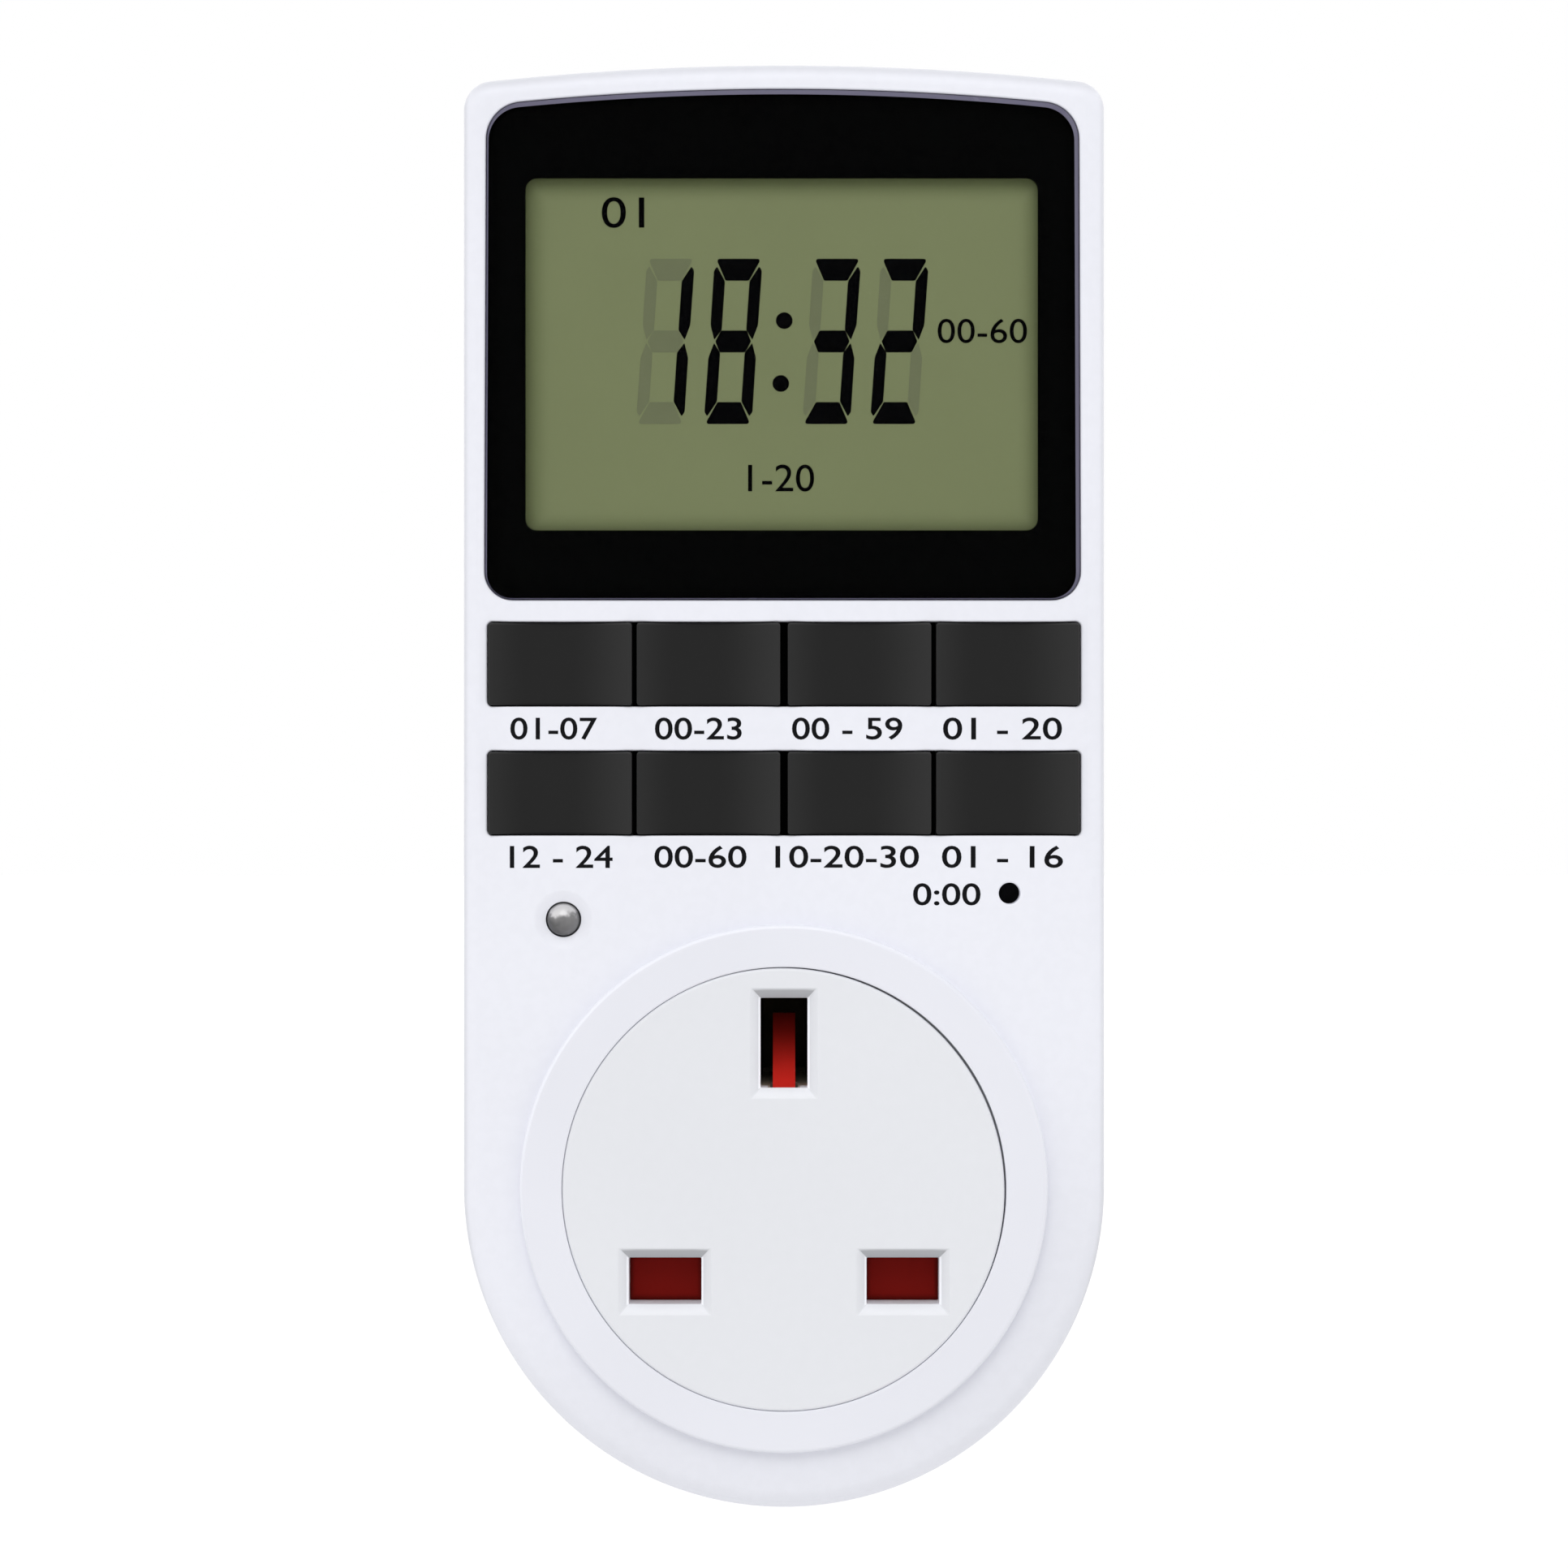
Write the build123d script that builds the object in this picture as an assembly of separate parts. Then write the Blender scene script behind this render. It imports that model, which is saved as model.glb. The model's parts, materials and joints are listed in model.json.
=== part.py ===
from build123d import *
import math
import os

# Plug-in timer switch.
# Frame: origin at the middle of the plug face that meets the wall outlet, on the axis of the socket disc.
# +X is to the right as seen from the front, +Y goes into the wall, +Z is up. All sizes in millimetres.

# ---- pins and slots (standard three-pin pattern) ----
pin_spacing = 22.2        # live to neutral, and earth line to live-neutral line
earth_z = 13.6
line_pin_w = 6.35
pin_thick = 4.0
earth_pin_h = 8.0
line_pin_length = 17.7
earth_pin_length = 22.7
pin_tip_chamfer = 1.0
sleeve_length = 9.5
sleeve_wall = 0.55
pin_head_over = 1.1
pin_head_thick = 1.5
pin_tail_end = -10.5
pin_fit = 0.05
slot_side_gap = 0.225     # slots round the pins, each side
slot_edge_gap = 0.175
earth_slot_side_gap = 0.2
slot_chamfer = 0.9

# ---- socket disc and ring ----
disc_margin = 1.575        # rim of the disc outside the slots
disc_gap = 0.2
disc_flange_over = 1.6
disc_flange_thick = 0.8
ring_width = 3.85
ring_rise = 1.2
ring_round = 0.9

# ---- case ----
ring_margin = 5.25        # case beside the ring
crown_radius = 257.0      # radius of the arched upper edge
corner_radius = 2.7       # upper corners, seen from the front
case_front = -41.0        # front plane
parting = -27.0           # joint between front and rear case
case_back = -8.0          # rear plane of the tall body
front_round = 2.0         # round along the front edge
back_round = 2.4          # round along the rear edge
side_wall = 2.0
front_wall = 2.2
back_wall = 2.2
lip_depth = 1.5           # tongue of the rear case inside the front case
lip_wall = 1.0
lip_gap = 0.15
seam_depth = 0.3          # shadow groove along the joint between the cases
seam_width = 0.35
plug_step = 0.75          # plug boss inside the ring radius
boss_wall = 2.0
plug_wall = 2.5
boss_round = 1.5
panel_w = 42.0            # plain recessed panel on the back
panel_h = 40.0
panel_depth = 0.3

# ---- keys ----
row_over_ring = 12.15     # middle of the lower row above the ring
key_h = 7.7
row_space = 4.35          # between the rows
row_margin = 2.4          # case beside the rows
key_gap_side = 0.45       # gap beside the outer keys
key_gap_mid = 0.7         # gap between the two middle keys
row_gap = 0.12            # between the keys and the case opening
key_proud = 0.45
key_dish_radius = 24.0    # radius of the hollow across the key face
key_wall = 1.2
key_edge_round = 0.35
flange_over = 0.9         # flange beyond the opening, above and below
flange_thick = 1.0
flange_gap = 0.1          # flange behind the front wall at rest
key_travel = 0.9
plunger_w = 5.0
dome_radius = 2.6
dome_height = 2.4
dome_gap = 0.05
mat_base = 1.0
mat_margin = 0.8
mat_inset = 1.5

# ---- display ----
window_side = 2.2         # case beside the window at its lower edge
window_taper = 0.3        # the window is this much narrower each side at the top
window_over_keys = 2.2
window_corner_low = 2.6
window_corner_high = 4.3
window_thick = 1.4
window_bevel = 0.4
window_proud = 0.15       # window face in front of the case face
window_gap = 0.12         # round the window in its recess
window_top_edge = 2.5     # case above the window
mask_thick = 0.25
mask_side = 3.8           # black border beside, below and above the clear opening
mask_low = 6.3
mask_high = 8.3
view_h = 33.0
view_corner = 1.1
ledge_extra = 0.6         # case opening beyond the mask opening, each side
lcd_border_side = 1.5
lcd_border = 1.3
lcd_thick = 2.8
lcd_ledge = 3.2           # bare contact ledges of the glass, above and below
frame_wall = 1.2
frame_gap = 0.1
zebra_thick = 1.8
zebra_inset = 1.6
zebra_end = 2.0

# ---- boards ----
board_thick = 1.6
control_front = -33.2     # front face of the control board
control_side = 0.6        # board edge to the case wall
control_over_carrier = 1.2
control_top_gap = 4.4     # tongue of the board below the top of the case
control_notch = 1.7       # tongue to the upper screw bosses
power_back = -11.8        # rear face of the power board
power_side = 5.5
power_over_ring = 2.25
power_top_gap = 10.5
post_inset = 3.0
chip_radius = 6.5
chip_thick = 1.3
crystal_radius = 1.05
crystal_length = 6.2
relay_w = 19.2
relay_h = 15.5
relay_tall = 15.4
film_w = 18.0
film_h = 8.5
film_tall = 14.5
can_radius = 5.0
can_tall = 12.5
varistor_radius = 5.2
varistor_thick = 4.2
varistor_lift = 7.0
fuse_radius = 2.0
fuse_length = 9.0
fuse_lift = 2.6
diode_radius = 1.2
diode_length = 4.2
diode_lift = 1.5
diode_pitch = 4.0
cell_radius = 7.6
cell_length = 5.6
driver_radius = 2.3
driver_tall = 4.6
driver_lift = 2.6
relay_side = 1.9          # parts from the sides and top of the power board
relay_down = 6.85
film_side = 4.5
film_down = 6.35
can_side = 2.5
can_below_film = 5.75
battery_side = 8.1
battery_below_can = 10.0
varistor_side = 2.3
varistor_up = 18.0
fuse_side = 4.0
fuse_up = 9.0
diodes_beside = 5.2
driver_side = 7.2
driver_below = 7.95
plug_w = 12.0             # board connectors and ribbon
plug_h = 4.0
plug_tall_front = 3.0
plug_tall_rear = 4.0
ribbon_half = 4.8
ribbon_thick = 0.7
ribbon_rise = 3.5

# ---- lamp and reset ----
lamp_side = 9.4           # lamp from the side of the case
lamp_below_keys = 11.8    # lamp below the middle of the lower row
lamp_radius = 1.6
lamp_proud = 0.9
lamp_fit = 0.06
lamp_flange = 0.35
lamp_flange_thick = 1.0
lamp_collar = 1.6
lamp_dish_over = 1.1
lamp_dish_depth = 0.3
lead_radius = 0.25
lead_spacing = 2.54
reset_side = 8.94
reset_below_keys = 9.36
reset_hole_radius = 1.0
reset_body = 6.0
reset_body_depth = 3.4
reset_button_radius = 1.6
reset_button_gap = 0.5    # button behind the inner face of the case
reset_well = 1.2
reset_travel = 0.25

# ---- shutter ----
shutter_travel = 6.5
shutter_thick = 1.2
shutter_gap = 0.2         # between the shutter plate and its pocket, front and back
shutter_side_gap = 0.1
blade_over = 1.3          # blade beyond the slot
blade_corner = 1.6
ramp_w = 2.1
ramp_rise = 6.55          # ramp above the lower edge of the earth slot
ramp_nose_depth = 1.7     # nose behind the disc face
ramp_depth = 8.1          # nose to back
ramp_top = 1.0
ramp_root = 3.5           # ramp web along the stem
stem_half = 3.0
stem_below = 0.4          # stem below the earth slot
spring_radius = 1.55      # to the middle of the wire
spring_wire = 0.2         # wire radius
spring_turns = 9.0
spring_gap = 0.15
seat_thick = 1.4

# ---- contacts ----
carrier_side = 3.8        # carrier beside the blades
carrier_below = 2.425
carrier_above = 2.6
carrier_rim = 0.8
carrier_back = -16.5
cover_thick = 1.5
clip_fit = 0.1            # both leaves round a pin, in all
clip_thick = 0.7
clip_start = 1.6          # leaves behind the shutter pocket
clip_length_line = 14.0
clip_length_earth = 13.3
line_leaf_over = 0.25
earth_leaf_under = 0.6
clip_flare = 1.2
tail_thick = 0.8
tail_w = 4.4
tail_end = -12.6
strap_lap = 1.9
ear_gap = 2.4             # ear centre outside the flange of the disc
ear_radius = 2.6
ear_thick = 2.6
ear_front = -31.0
retainer_thick = 4.0
retainer_gap = 1.5

# ---- leads ----
wire_radius = 0.9
wire_bend = 1.3
wire_lift = 1.8           # leads over the edge of the power board
wire_pad = 2.5

# ---- fasteners ----
case_screw_in = 5.4       # upper screws from the side of the case
case_screw_down = 5.9     # and below its top
mid_screw_in = 5.0
mid_screw_z = 13.5
case_screw_radius = 1.45
case_screw_length = 16.0
case_head_radius = 2.6
case_head_thick = 2.2
case_head_seat = -17.0
front_boss_radius = 2.6
rear_boss_radius = 3.9
boss_web = 0.6
board_screw_radius = 0.8
board_head_radius = 1.7
board_head_thick = 1.2
board_screw_length = 4.4
board_post_radius = 1.9
block_screw_radius = 1.1
block_head_radius = 2.1
block_head_thick = 1.5
screw_fit = 0.04
screw_pass = 0.15
recess_depth = 0.8

# ---- derived sizes and stations ----
line_x = pin_spacing / 2
line_z = earth_z - pin_spacing
slot_w = line_pin_w + 2 * slot_side_gap
slot_h = pin_thick + 2 * slot_edge_gap
earth_slot_w = pin_thick + 2 * earth_slot_side_gap
earth_slot_h = earth_pin_h + 2 * earth_slot_side_gap
earth_slot_low = earth_z - earth_slot_h / 2
slot_reach = math.hypot(line_x + slot_w / 2 + slot_chamfer, abs(line_z) + slot_h / 2 + slot_chamfer)
disc_radius = max(slot_reach, earth_z + earth_slot_h / 2 + slot_chamfer) + disc_margin
flange_radius = disc_radius + disc_flange_over
bore_radius = disc_radius + disc_gap
ring_radius = disc_radius + ring_width
case_half = ring_radius + ring_margin
boss_radius = ring_radius - plug_step

row_lower_z = ring_radius + row_over_ring
row_upper_z = row_lower_z + key_h + row_space
window_low_z = row_upper_z + key_h / 2 + window_over_keys
view_z = window_low_z + mask_low + view_h / 2
window_top_z = view_z + view_h / 2 + mask_high
crown_z = window_top_z + window_top_edge
window_half_low = case_half - window_side
window_half_high = window_half_low - window_taper
view_w = 2 * (window_half_low - mask_side)
lcd_w = view_w + 2 * lcd_border_side
lcd_h = view_h + 2 * lcd_border
frame_w = lcd_w + 2 * (frame_gap + frame_wall)
frame_h = lcd_h + 2 * (frame_gap + frame_wall)
key_row_half = case_half - row_margin
key_w = (2 * key_row_half - 2 * key_gap_side - key_gap_mid) / 4
key_xs = [
    -(key_gap_mid / 2 + 1.5 * key_w + key_gap_side),
    -(key_gap_mid / 2 + 0.5 * key_w),
    key_gap_mid / 2 + 0.5 * key_w,
    key_gap_mid / 2 + 1.5 * key_w + key_gap_side,
]

inner_front = case_front + front_wall
inner_back = case_back - back_wall
window_front = case_front - window_proud
window_back = window_front + window_thick
recess_floor = window_back + mask_thick
lcd_back = inner_front + lcd_thick
control_back = control_front + board_thick
power_front = power_back - board_thick
mat_front = control_front - mat_base
dome_top = mat_front - dome_height
key_front = case_front - key_proud
flange_front = inner_front + flange_gap
flange_back = flange_front + flange_thick
ring_front = case_front - ring_rise
disc_front = ring_front
disc_flange_front = inner_front
disc_back = disc_flange_front + disc_flange_thick
plate_front = disc_back + shutter_gap
plate_back = plate_front + shutter_thick
pocket_floor = plate_back + shutter_gap
blade_out = line_x + slot_w / 2 + blade_over
blade_top = line_z + slot_h / 2 + blade_over
blade_low = line_z - slot_h / 2 - blade_over
stem_top_z = earth_slot_low - stem_below
ramp_nose = disc_front + ramp_nose_depth
ramp_back = ramp_nose + ramp_depth
ramp_tip_z = earth_slot_low + ramp_rise
ramp_low_z = stem_top_z - ramp_root
spring_y = disc_back + spring_radius + spring_wire + spring_gap
seat_z = blade_top - seat_thick
carrier_half = blade_out + carrier_side
carrier_low_z = blade_low - shutter_travel - carrier_below
carrier_top_z = earth_z + earth_slot_h / 2 + carrier_above
carrier_clip_radius = flange_radius + carrier_rim
spring_low_z = carrier_low_z + 1.4
chamber_front = ramp_back + 0.5
clip_gap = pin_thick + clip_fit
line_leaf_w = line_pin_w + line_leaf_over
earth_leaf_h = earth_pin_h - earth_leaf_under
ear_x = flange_radius + ear_gap

lamp_x = lamp_side - case_half
lamp_z = row_lower_z - lamp_below_keys
lamp_tip = case_front - lamp_proud
lamp_flange_radius = lamp_radius + lamp_flange
lamp_dish_radius = lamp_radius + lamp_dish_over
reset_x = case_half - reset_side
reset_z = row_lower_z - reset_below_keys

case_screw_x = case_half - case_screw_in
case_screw_z = crown_z - case_screw_down
mid_screw_x = case_half - mid_screw_in
control_half = case_half - side_wall - control_side
control_low_z = carrier_top_z + control_over_carrier
control_top_z = crown_z - control_top_gap
control_top_half = case_screw_x - front_boss_radius - control_notch
control_shoulder_z = view_z + lcd_h / 2 + 0.3
power_half = case_half - power_side
power_low_z = ring_radius + power_over_ring
power_top_z = crown_z - power_top_gap

case_screws_at = [(sx * case_screw_x, case_screw_z) for sx in (-1, 1)]
mid_screws_at = [(sx * mid_screw_x, mid_screw_z) for sx in (-1, 1)]
control_posts_at = [
    (sx * x, z)
    for x, z in (
        (case_screw_x - 0.1, window_low_z + 1.0),
        (case_half - side_wall - 2.0, control_low_z + 2.4),
        (control_top_half - 3.3, control_top_z - 1.7),
    )
    for sx in (-1, 1)
]
power_posts_at = [(sx * (power_half - post_inset), z) for z in (power_low_z + 4.0, power_top_z - 3.1)
                  for sx in (-1, 1)]
chip_at = (-10.0, row_lower_z + 7.1)
crystal_at = (6.0, row_lower_z + 7.1)
relay_at = (power_half - relay_side - relay_w / 2, power_top_z - relay_down - relay_h / 2)
film_at = (-power_half + film_side + film_w / 2, power_top_z - film_down - film_h / 2)
can_at = (-power_half + can_side + can_radius, film_at[1] - film_h / 2 - can_below_film - can_radius)
battery_at = (-power_half + battery_side + 1.5 * cell_length, can_at[1] - can_radius - battery_below_can)
varistor_at = (power_half - varistor_side - varistor_radius, power_low_z + varistor_up)
fuse_at = (-power_half + fuse_side + fuse_length / 2, power_low_z + fuse_up + fuse_radius)
diodes_at = (battery_at[0] + 1.5 * cell_length + diodes_beside, battery_at[1] + diode_pitch / 2)
driver_at = (power_half - driver_side - driver_radius, relay_at[1] - relay_h / 2 - driver_below - driver_radius)
ears_at = [(-ear_x, 0.0), (ear_x, 0.0), (0.0, -ear_x)]
retainer_screws_at = [(-line_x - 2.9, 5.5), (line_x + 2.9, 5.5), (0.0, line_z - 0.4)]


def at(y):
    """Plane facing the front at depth y; its local axes are X and Z."""
    return Plane.XZ.offset(-y)


def prism(sketch, y_front, y_back):
    """Sketch drawn in X and Z, filled between two depths."""
    return extrude(at(y_back) * sketch, amount=y_back - y_front)


def disc(x, z, radius, y_front, y_back):
    return prism(Pos(x, z) * Circle(radius), y_front, y_back)


def slab(x0, x1, z0, z1, y_front, y_back):
    return prism(Pos((x0 + x1) / 2, (z0 + z1) / 2) * Rectangle(x1 - x0, z1 - z0), y_front, y_back)


def rounded(x, z, w, h, r, y_front, y_back):
    return prism(Pos(x, z) * RectangleRounded(w, h, r), y_front, y_back)


def outline(inset=0.0):
    """Case outline: straight sides, half circle below, shallow arch above with small rounded corners."""
    half = case_half - inset
    top = crown_z - inset
    arch = crown_radius - inset
    shoulder = top - (arch - math.sqrt(arch**2 - half**2))
    edges = [
        Line((-half, 0), (-half, shoulder)),
        ThreePointArc((-half, shoulder), (0, top), (half, shoulder)),
        Line((half, shoulder), (half, 0)),
        ThreePointArc((half, 0), (0, -half), (-half, 0)),
    ]
    face = make_face(edges)
    return fillet(face.vertices().group_by(Axis.Y)[-1], max(corner_radius - inset, 0.6))


def window_outline(grow=0.0):
    """Display window: nearly straight sides, upper edge arched like the case."""
    low, high = window_half_low + grow, window_half_high + grow
    top = window_top_z + grow
    arch = crown_radius - (crown_z - top)
    shoulder = top - (arch - math.sqrt(arch**2 - high**2))
    z0 = window_low_z - grow
    edges = [
        Line((-low, z0), (-high, shoulder)),
        ThreePointArc((-high, shoulder), (0, top), (high, shoulder)),
        Line((high, shoulder), (low, z0)),
        Line((low, z0), (-low, z0)),
    ]
    face = make_face(edges)
    face = fillet(face.vertices().group_by(Axis.Y)[-1], window_corner_high + grow)
    return fillet(face.vertices().group_by(Axis.Y)[0], window_corner_low + grow)


def ring_of_revolution(points):
    """Closed profile of (radius, depth) points turned about the socket axis."""
    return revolve(make_face(Polyline(*points, close=True)), Axis.Y)


def seam(y_front, y_back):
    """Shallow groove round the outside of the case."""
    return prism(outline(-1.0), y_front, y_back) - prism(outline(seam_depth), y_front, y_back)


def save(shape, name):
    export_step(shape, "parts/" + name + ".step")


def front_case():
    body = prism(outline(), case_front, parting)
    body = fillet(body.faces().sort_by(Axis.Y)[0].edges(), front_round)
    body -= prism(outline(side_wall), inner_front, parting)
    # raised ring round the outlet
    ring = disc(0, 0, ring_radius, ring_front, inner_front)
    ring = fillet(ring.faces().sort_by(Axis.Y)[0].edges(), ring_round)
    body += ring
    body -= disc(0, 0, bore_radius, ring_front, inner_front)
    # window recess and the opening in front of the display
    body -= prism(window_outline(window_gap), case_front, recess_floor)
    body -= rounded(
        0, view_z, view_w + 2 * ledge_extra, view_h + 2 * ledge_extra, view_corner, recess_floor, inner_front
    )
    # one opening for each row of keys
    for z in (row_upper_z, row_lower_z):
        body -= rounded(0, z, 2 * (key_row_half + row_gap), key_h + 2 * row_gap, 0.5, case_front,
                        inner_front)
    # lamp hole in a shallow dish, with a collar behind
    body += disc(lamp_x, lamp_z, lamp_flange_radius + 0.6, inner_front, inner_front + lamp_collar)
    ball = (lamp_dish_radius**2 + lamp_dish_depth**2) / (2 * lamp_dish_depth)
    body -= Pos(lamp_x, case_front + lamp_dish_depth - ball, lamp_z) * Sphere(ball)
    body -= disc(lamp_x, lamp_z, lamp_radius + lamp_fit, case_front, inner_front + lamp_collar)
    # reset hole with a guide collar behind
    body -= disc(reset_x, reset_z, reset_hole_radius, case_front, inner_front)
    # screw bosses
    for x, z in case_screws_at + mid_screws_at:
        side = math.copysign(1, x)
        body += disc(x, z, front_boss_radius, inner_front, parting - 0.1)
        wall = side * (case_half - side_wall / 2)
        body += slab(min(x, wall), max(x, wall), z - boss_web, z + boss_web,
                     inner_front, parting - 0.1)
        tip = case_head_seat - case_screw_length
        body -= disc(x, z, case_screw_radius + screw_fit, tip - 1.5, parting - 0.1)
    # posts for the control board
    for x, z in control_posts_at:
        body += disc(x, z, board_post_radius, inner_front, control_front)
        tip = control_back - board_screw_length
        body -= disc(x, z, board_screw_radius + screw_fit, tip - 0.4, control_front)
    # posts for the contact carrier
    for x, z in ears_at:
        body += disc(x, z, ear_radius - 0.3, inner_front, ear_front)
        body -= disc(x, z, block_screw_radius + screw_fit, ear_front - 5.5, ear_front)
    body -= seam(parting - seam_width, parting)
    # stiffening ribs beside the keys
    z_mid = (row_upper_z + row_lower_z) / 2
    body += slab(-key_row_half, key_row_half, z_mid - 0.6, z_mid + 0.6, inner_front, inner_front + 1.6)
    return body


def rear_case():
    body = prism(outline(), parting, case_back)
    body = fillet(body.faces().sort_by(Axis.Y)[-1].edges(), back_round)
    boss = disc(0, 0, boss_radius, case_back - 1, 0)
    boss = fillet(boss.faces().sort_by(Axis.Y)[-1].edges(), boss_round)
    body += boss
    # tongue inside the front case
    lip = prism(outline(side_wall + lip_gap), parting - lip_depth, parting)
    body += lip
    for inset, y_front, y_back in (
        (side_wall + lip_gap + lip_wall, parting - lip_depth, parting + 1.5),
        (side_wall, parting + 1.5, inner_back),
    ):
        body -= prism(outline(inset), y_front, y_back)
    body -= disc(0, 0, boss_radius - boss_wall, inner_back, -plug_wall)
    for x, z in ears_at:
        body -= disc(x, z, ear_radius + 0.4, parting - lip_depth, parting)
    body -= seam(parting, parting + seam_width)
    # screw tubes with a deep counterbore from behind
    for x, z in case_screws_at + mid_screws_at:
        body -= disc(x, z, front_boss_radius + 0.4, parting - lip_depth, parting)
        side = math.copysign(1, x)
        body -= slab(min(x, side * (case_half - side_wall)), max(x, side * (case_half - side_wall)),
                     z - 1.0, z + 1.0, parting - lip_depth, parting)
        body += disc(x, z, rear_boss_radius, parting, inner_back) & prism(outline(1.0), parting, case_back)
        body -= disc(x, z, case_screw_radius + 0.2, parting, case_head_seat)
        body -= disc(x, z, case_head_radius + 0.25, case_head_seat, case_back)
    # posts for the power board
    for x, z in power_posts_at:
        body += disc(x, z, board_post_radius, power_back, inner_back)
        tip = power_front + board_screw_length
        body -= disc(x, z, board_screw_radius + screw_fit, power_back, tip + 0.3)
    # plain recessed panel on the back
    body -= rounded(0, (power_low_z + power_top_z) / 2 + 5.2, panel_w, panel_h, 1.5, case_back - panel_depth,
                    case_back)
    # posts and pin holes in the plug face
    for x, z in retainer_screws_at:
        body += disc(x, z, block_head_radius, -retainer_thick, -plug_wall)
        body -= disc(x, z, block_screw_radius + screw_fit, -retainer_thick, -1.0)
    for x in (-line_x, line_x):
        body -= slab(x - line_pin_w / 2 - pin_fit, x + line_pin_w / 2 + pin_fit,
                     line_z - pin_thick / 2 - pin_fit, line_z + pin_thick / 2 + pin_fit, -plug_wall, 0)
    body -= slab(-pin_thick / 2 - pin_fit, pin_thick / 2 + pin_fit,
                 earth_z - earth_pin_h / 2 - pin_fit, earth_z + earth_pin_h / 2 + pin_fit, -plug_wall, 0)
    return body


def window():
    pane = prism(window_outline(), window_front, window_back)
    return chamfer(pane.faces().sort_by(Axis.Y)[0].edges(), window_bevel)


def window_mask():
    sheet = prism(window_outline(), window_back, recess_floor)
    return sheet - rounded(0, view_z, view_w, view_h, view_corner, window_back, recess_floor)


def lcd_panel():
    front = slab(-lcd_w / 2, lcd_w / 2, view_z - lcd_h / 2, view_z + lcd_h / 2,
                 inner_front, inner_front + lcd_thick / 2)
    # the rear glass is shorter, which leaves the contact ledges bare
    rear = slab(-lcd_w / 2, lcd_w / 2, view_z - lcd_h / 2 + lcd_ledge, view_z + lcd_h / 2 - lcd_ledge,
                inner_front + lcd_thick / 2, lcd_back)
    return front + rear


def lcd_frame():
    ring = slab(-frame_w / 2, frame_w / 2, view_z - frame_h / 2, view_z + frame_h / 2,
                inner_front, control_front)
    ring -= slab(-lcd_w / 2 - frame_gap, lcd_w / 2 + frame_gap,
                 view_z - lcd_h / 2 - frame_gap, view_z + lcd_h / 2 + frame_gap, inner_front, control_front)
    for x, z in case_screws_at:
        ring -= disc(x, z, front_boss_radius + 0.2, inner_front, control_front)
    for x, z in control_posts_at:
        ring -= disc(x, z, board_post_radius + 0.2, inner_front, control_front)
    return ring


def zebra_strips():
    z_edge = lcd_h / 2 - zebra_inset
    strips = [
        slab(-lcd_w / 2 + zebra_end, lcd_w / 2 - zebra_end, view_z + s * z_edge - zebra_thick / 2,
             view_z + s * z_edge + zebra_thick / 2, inner_front + lcd_thick / 2, control_front)
        for s in (-1, 1)
    ]
    return Compound(children=strips)


def key_cap(x, z):
    cap = rounded(x, z, key_w, key_h, 0.3, key_front, flange_back)
    cap = fillet(cap.faces().sort_by(Axis.Y)[0].edges(), key_edge_round)
    # hollow across the face, along the row
    depth = key_dish_radius - math.sqrt(key_dish_radius**2 - (key_w / 2) ** 2)
    bar = Pos(x, key_front + depth - key_dish_radius, z) * Cylinder(key_dish_radius, key_h + 4)
    cap -= bar
    cap += slab(x - key_w / 2, x + key_w / 2, z - key_h / 2 - flange_over, z + key_h / 2 + flange_over,
                flange_front, flange_back)
    cap -= slab(x - key_w / 2 + key_wall, x + key_w / 2 - key_wall, z - key_h / 2 + key_wall,
                z + key_h / 2 - key_wall, key_front + depth + key_wall, flange_back)
    cap += slab(x - plunger_w / 2, x + plunger_w / 2, z - 0.6, z + 0.6,
                key_front + depth + key_wall, dome_top - dome_gap)
    cap += slab(x - 0.6, x + 0.6, z - plunger_w / 2 + 0.3, z + plunger_w / 2 - 0.3,
                key_front + depth + key_wall, dome_top - dome_gap)
    return cap


def keypad_mat():
    z0 = row_lower_z - key_h / 2 - mat_margin
    z1 = row_upper_z + key_h / 2 + mat_margin
    mat = rounded(0, (z0 + z1) / 2, 2 * (key_row_half - mat_inset), z1 - z0, 1.0, mat_front, control_front)
    for z in (row_upper_z, row_lower_z):
        for x in key_xs:
            cone = loft([at(mat_front) * Pos(x, z) * Circle(dome_radius + 0.8),
                         at(dome_top) * Pos(x, z) * Circle(dome_radius)])
            hollow = loft([at(control_front) * Pos(x, z) * Circle(dome_radius + 0.2),
                           at(dome_top + 1.0) * Pos(x, z) * Circle(dome_radius - 0.6)])
            mat += cone
            mat -= hollow
    return mat


def control_board():
    board = slab(-control_half, control_half, control_low_z, control_shoulder_z, control_front, control_back)
    board += slab(-control_top_half, control_top_half, control_shoulder_z - 1, control_top_z,
                  control_front, control_back)
    for x, z in control_posts_at:
        board -= disc(x, z, board_screw_radius + screw_pass, control_front, control_back)
    for sx in (-1, 1):
        board -= disc(lamp_x + sx * lead_spacing / 2, lamp_z, lead_radius + 0.1, control_front, control_back)
    return board


def status_lamp():
    dome_y = lamp_tip + lamp_radius
    back = inner_front + lamp_collar + lamp_flange_thick + 0.05
    front = back - lamp_flange_thick
    profile = make_face([
        Line((0, back), (lamp_flange_radius, back)),
        Line((lamp_flange_radius, back), (lamp_flange_radius, front)),
        Line((lamp_flange_radius, front), (lamp_radius, front)),
        Line((lamp_radius, front), (lamp_radius, dome_y)),
        ThreePointArc((lamp_radius, dome_y),
                      (lamp_radius * math.sqrt(0.5), dome_y - lamp_radius * math.sqrt(0.5)),
                      (0, lamp_tip)),
        Line((0, lamp_tip), (0, back)),
    ])
    return Pos(lamp_x, 0, lamp_z) * revolve(profile, Axis.Y)


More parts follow.
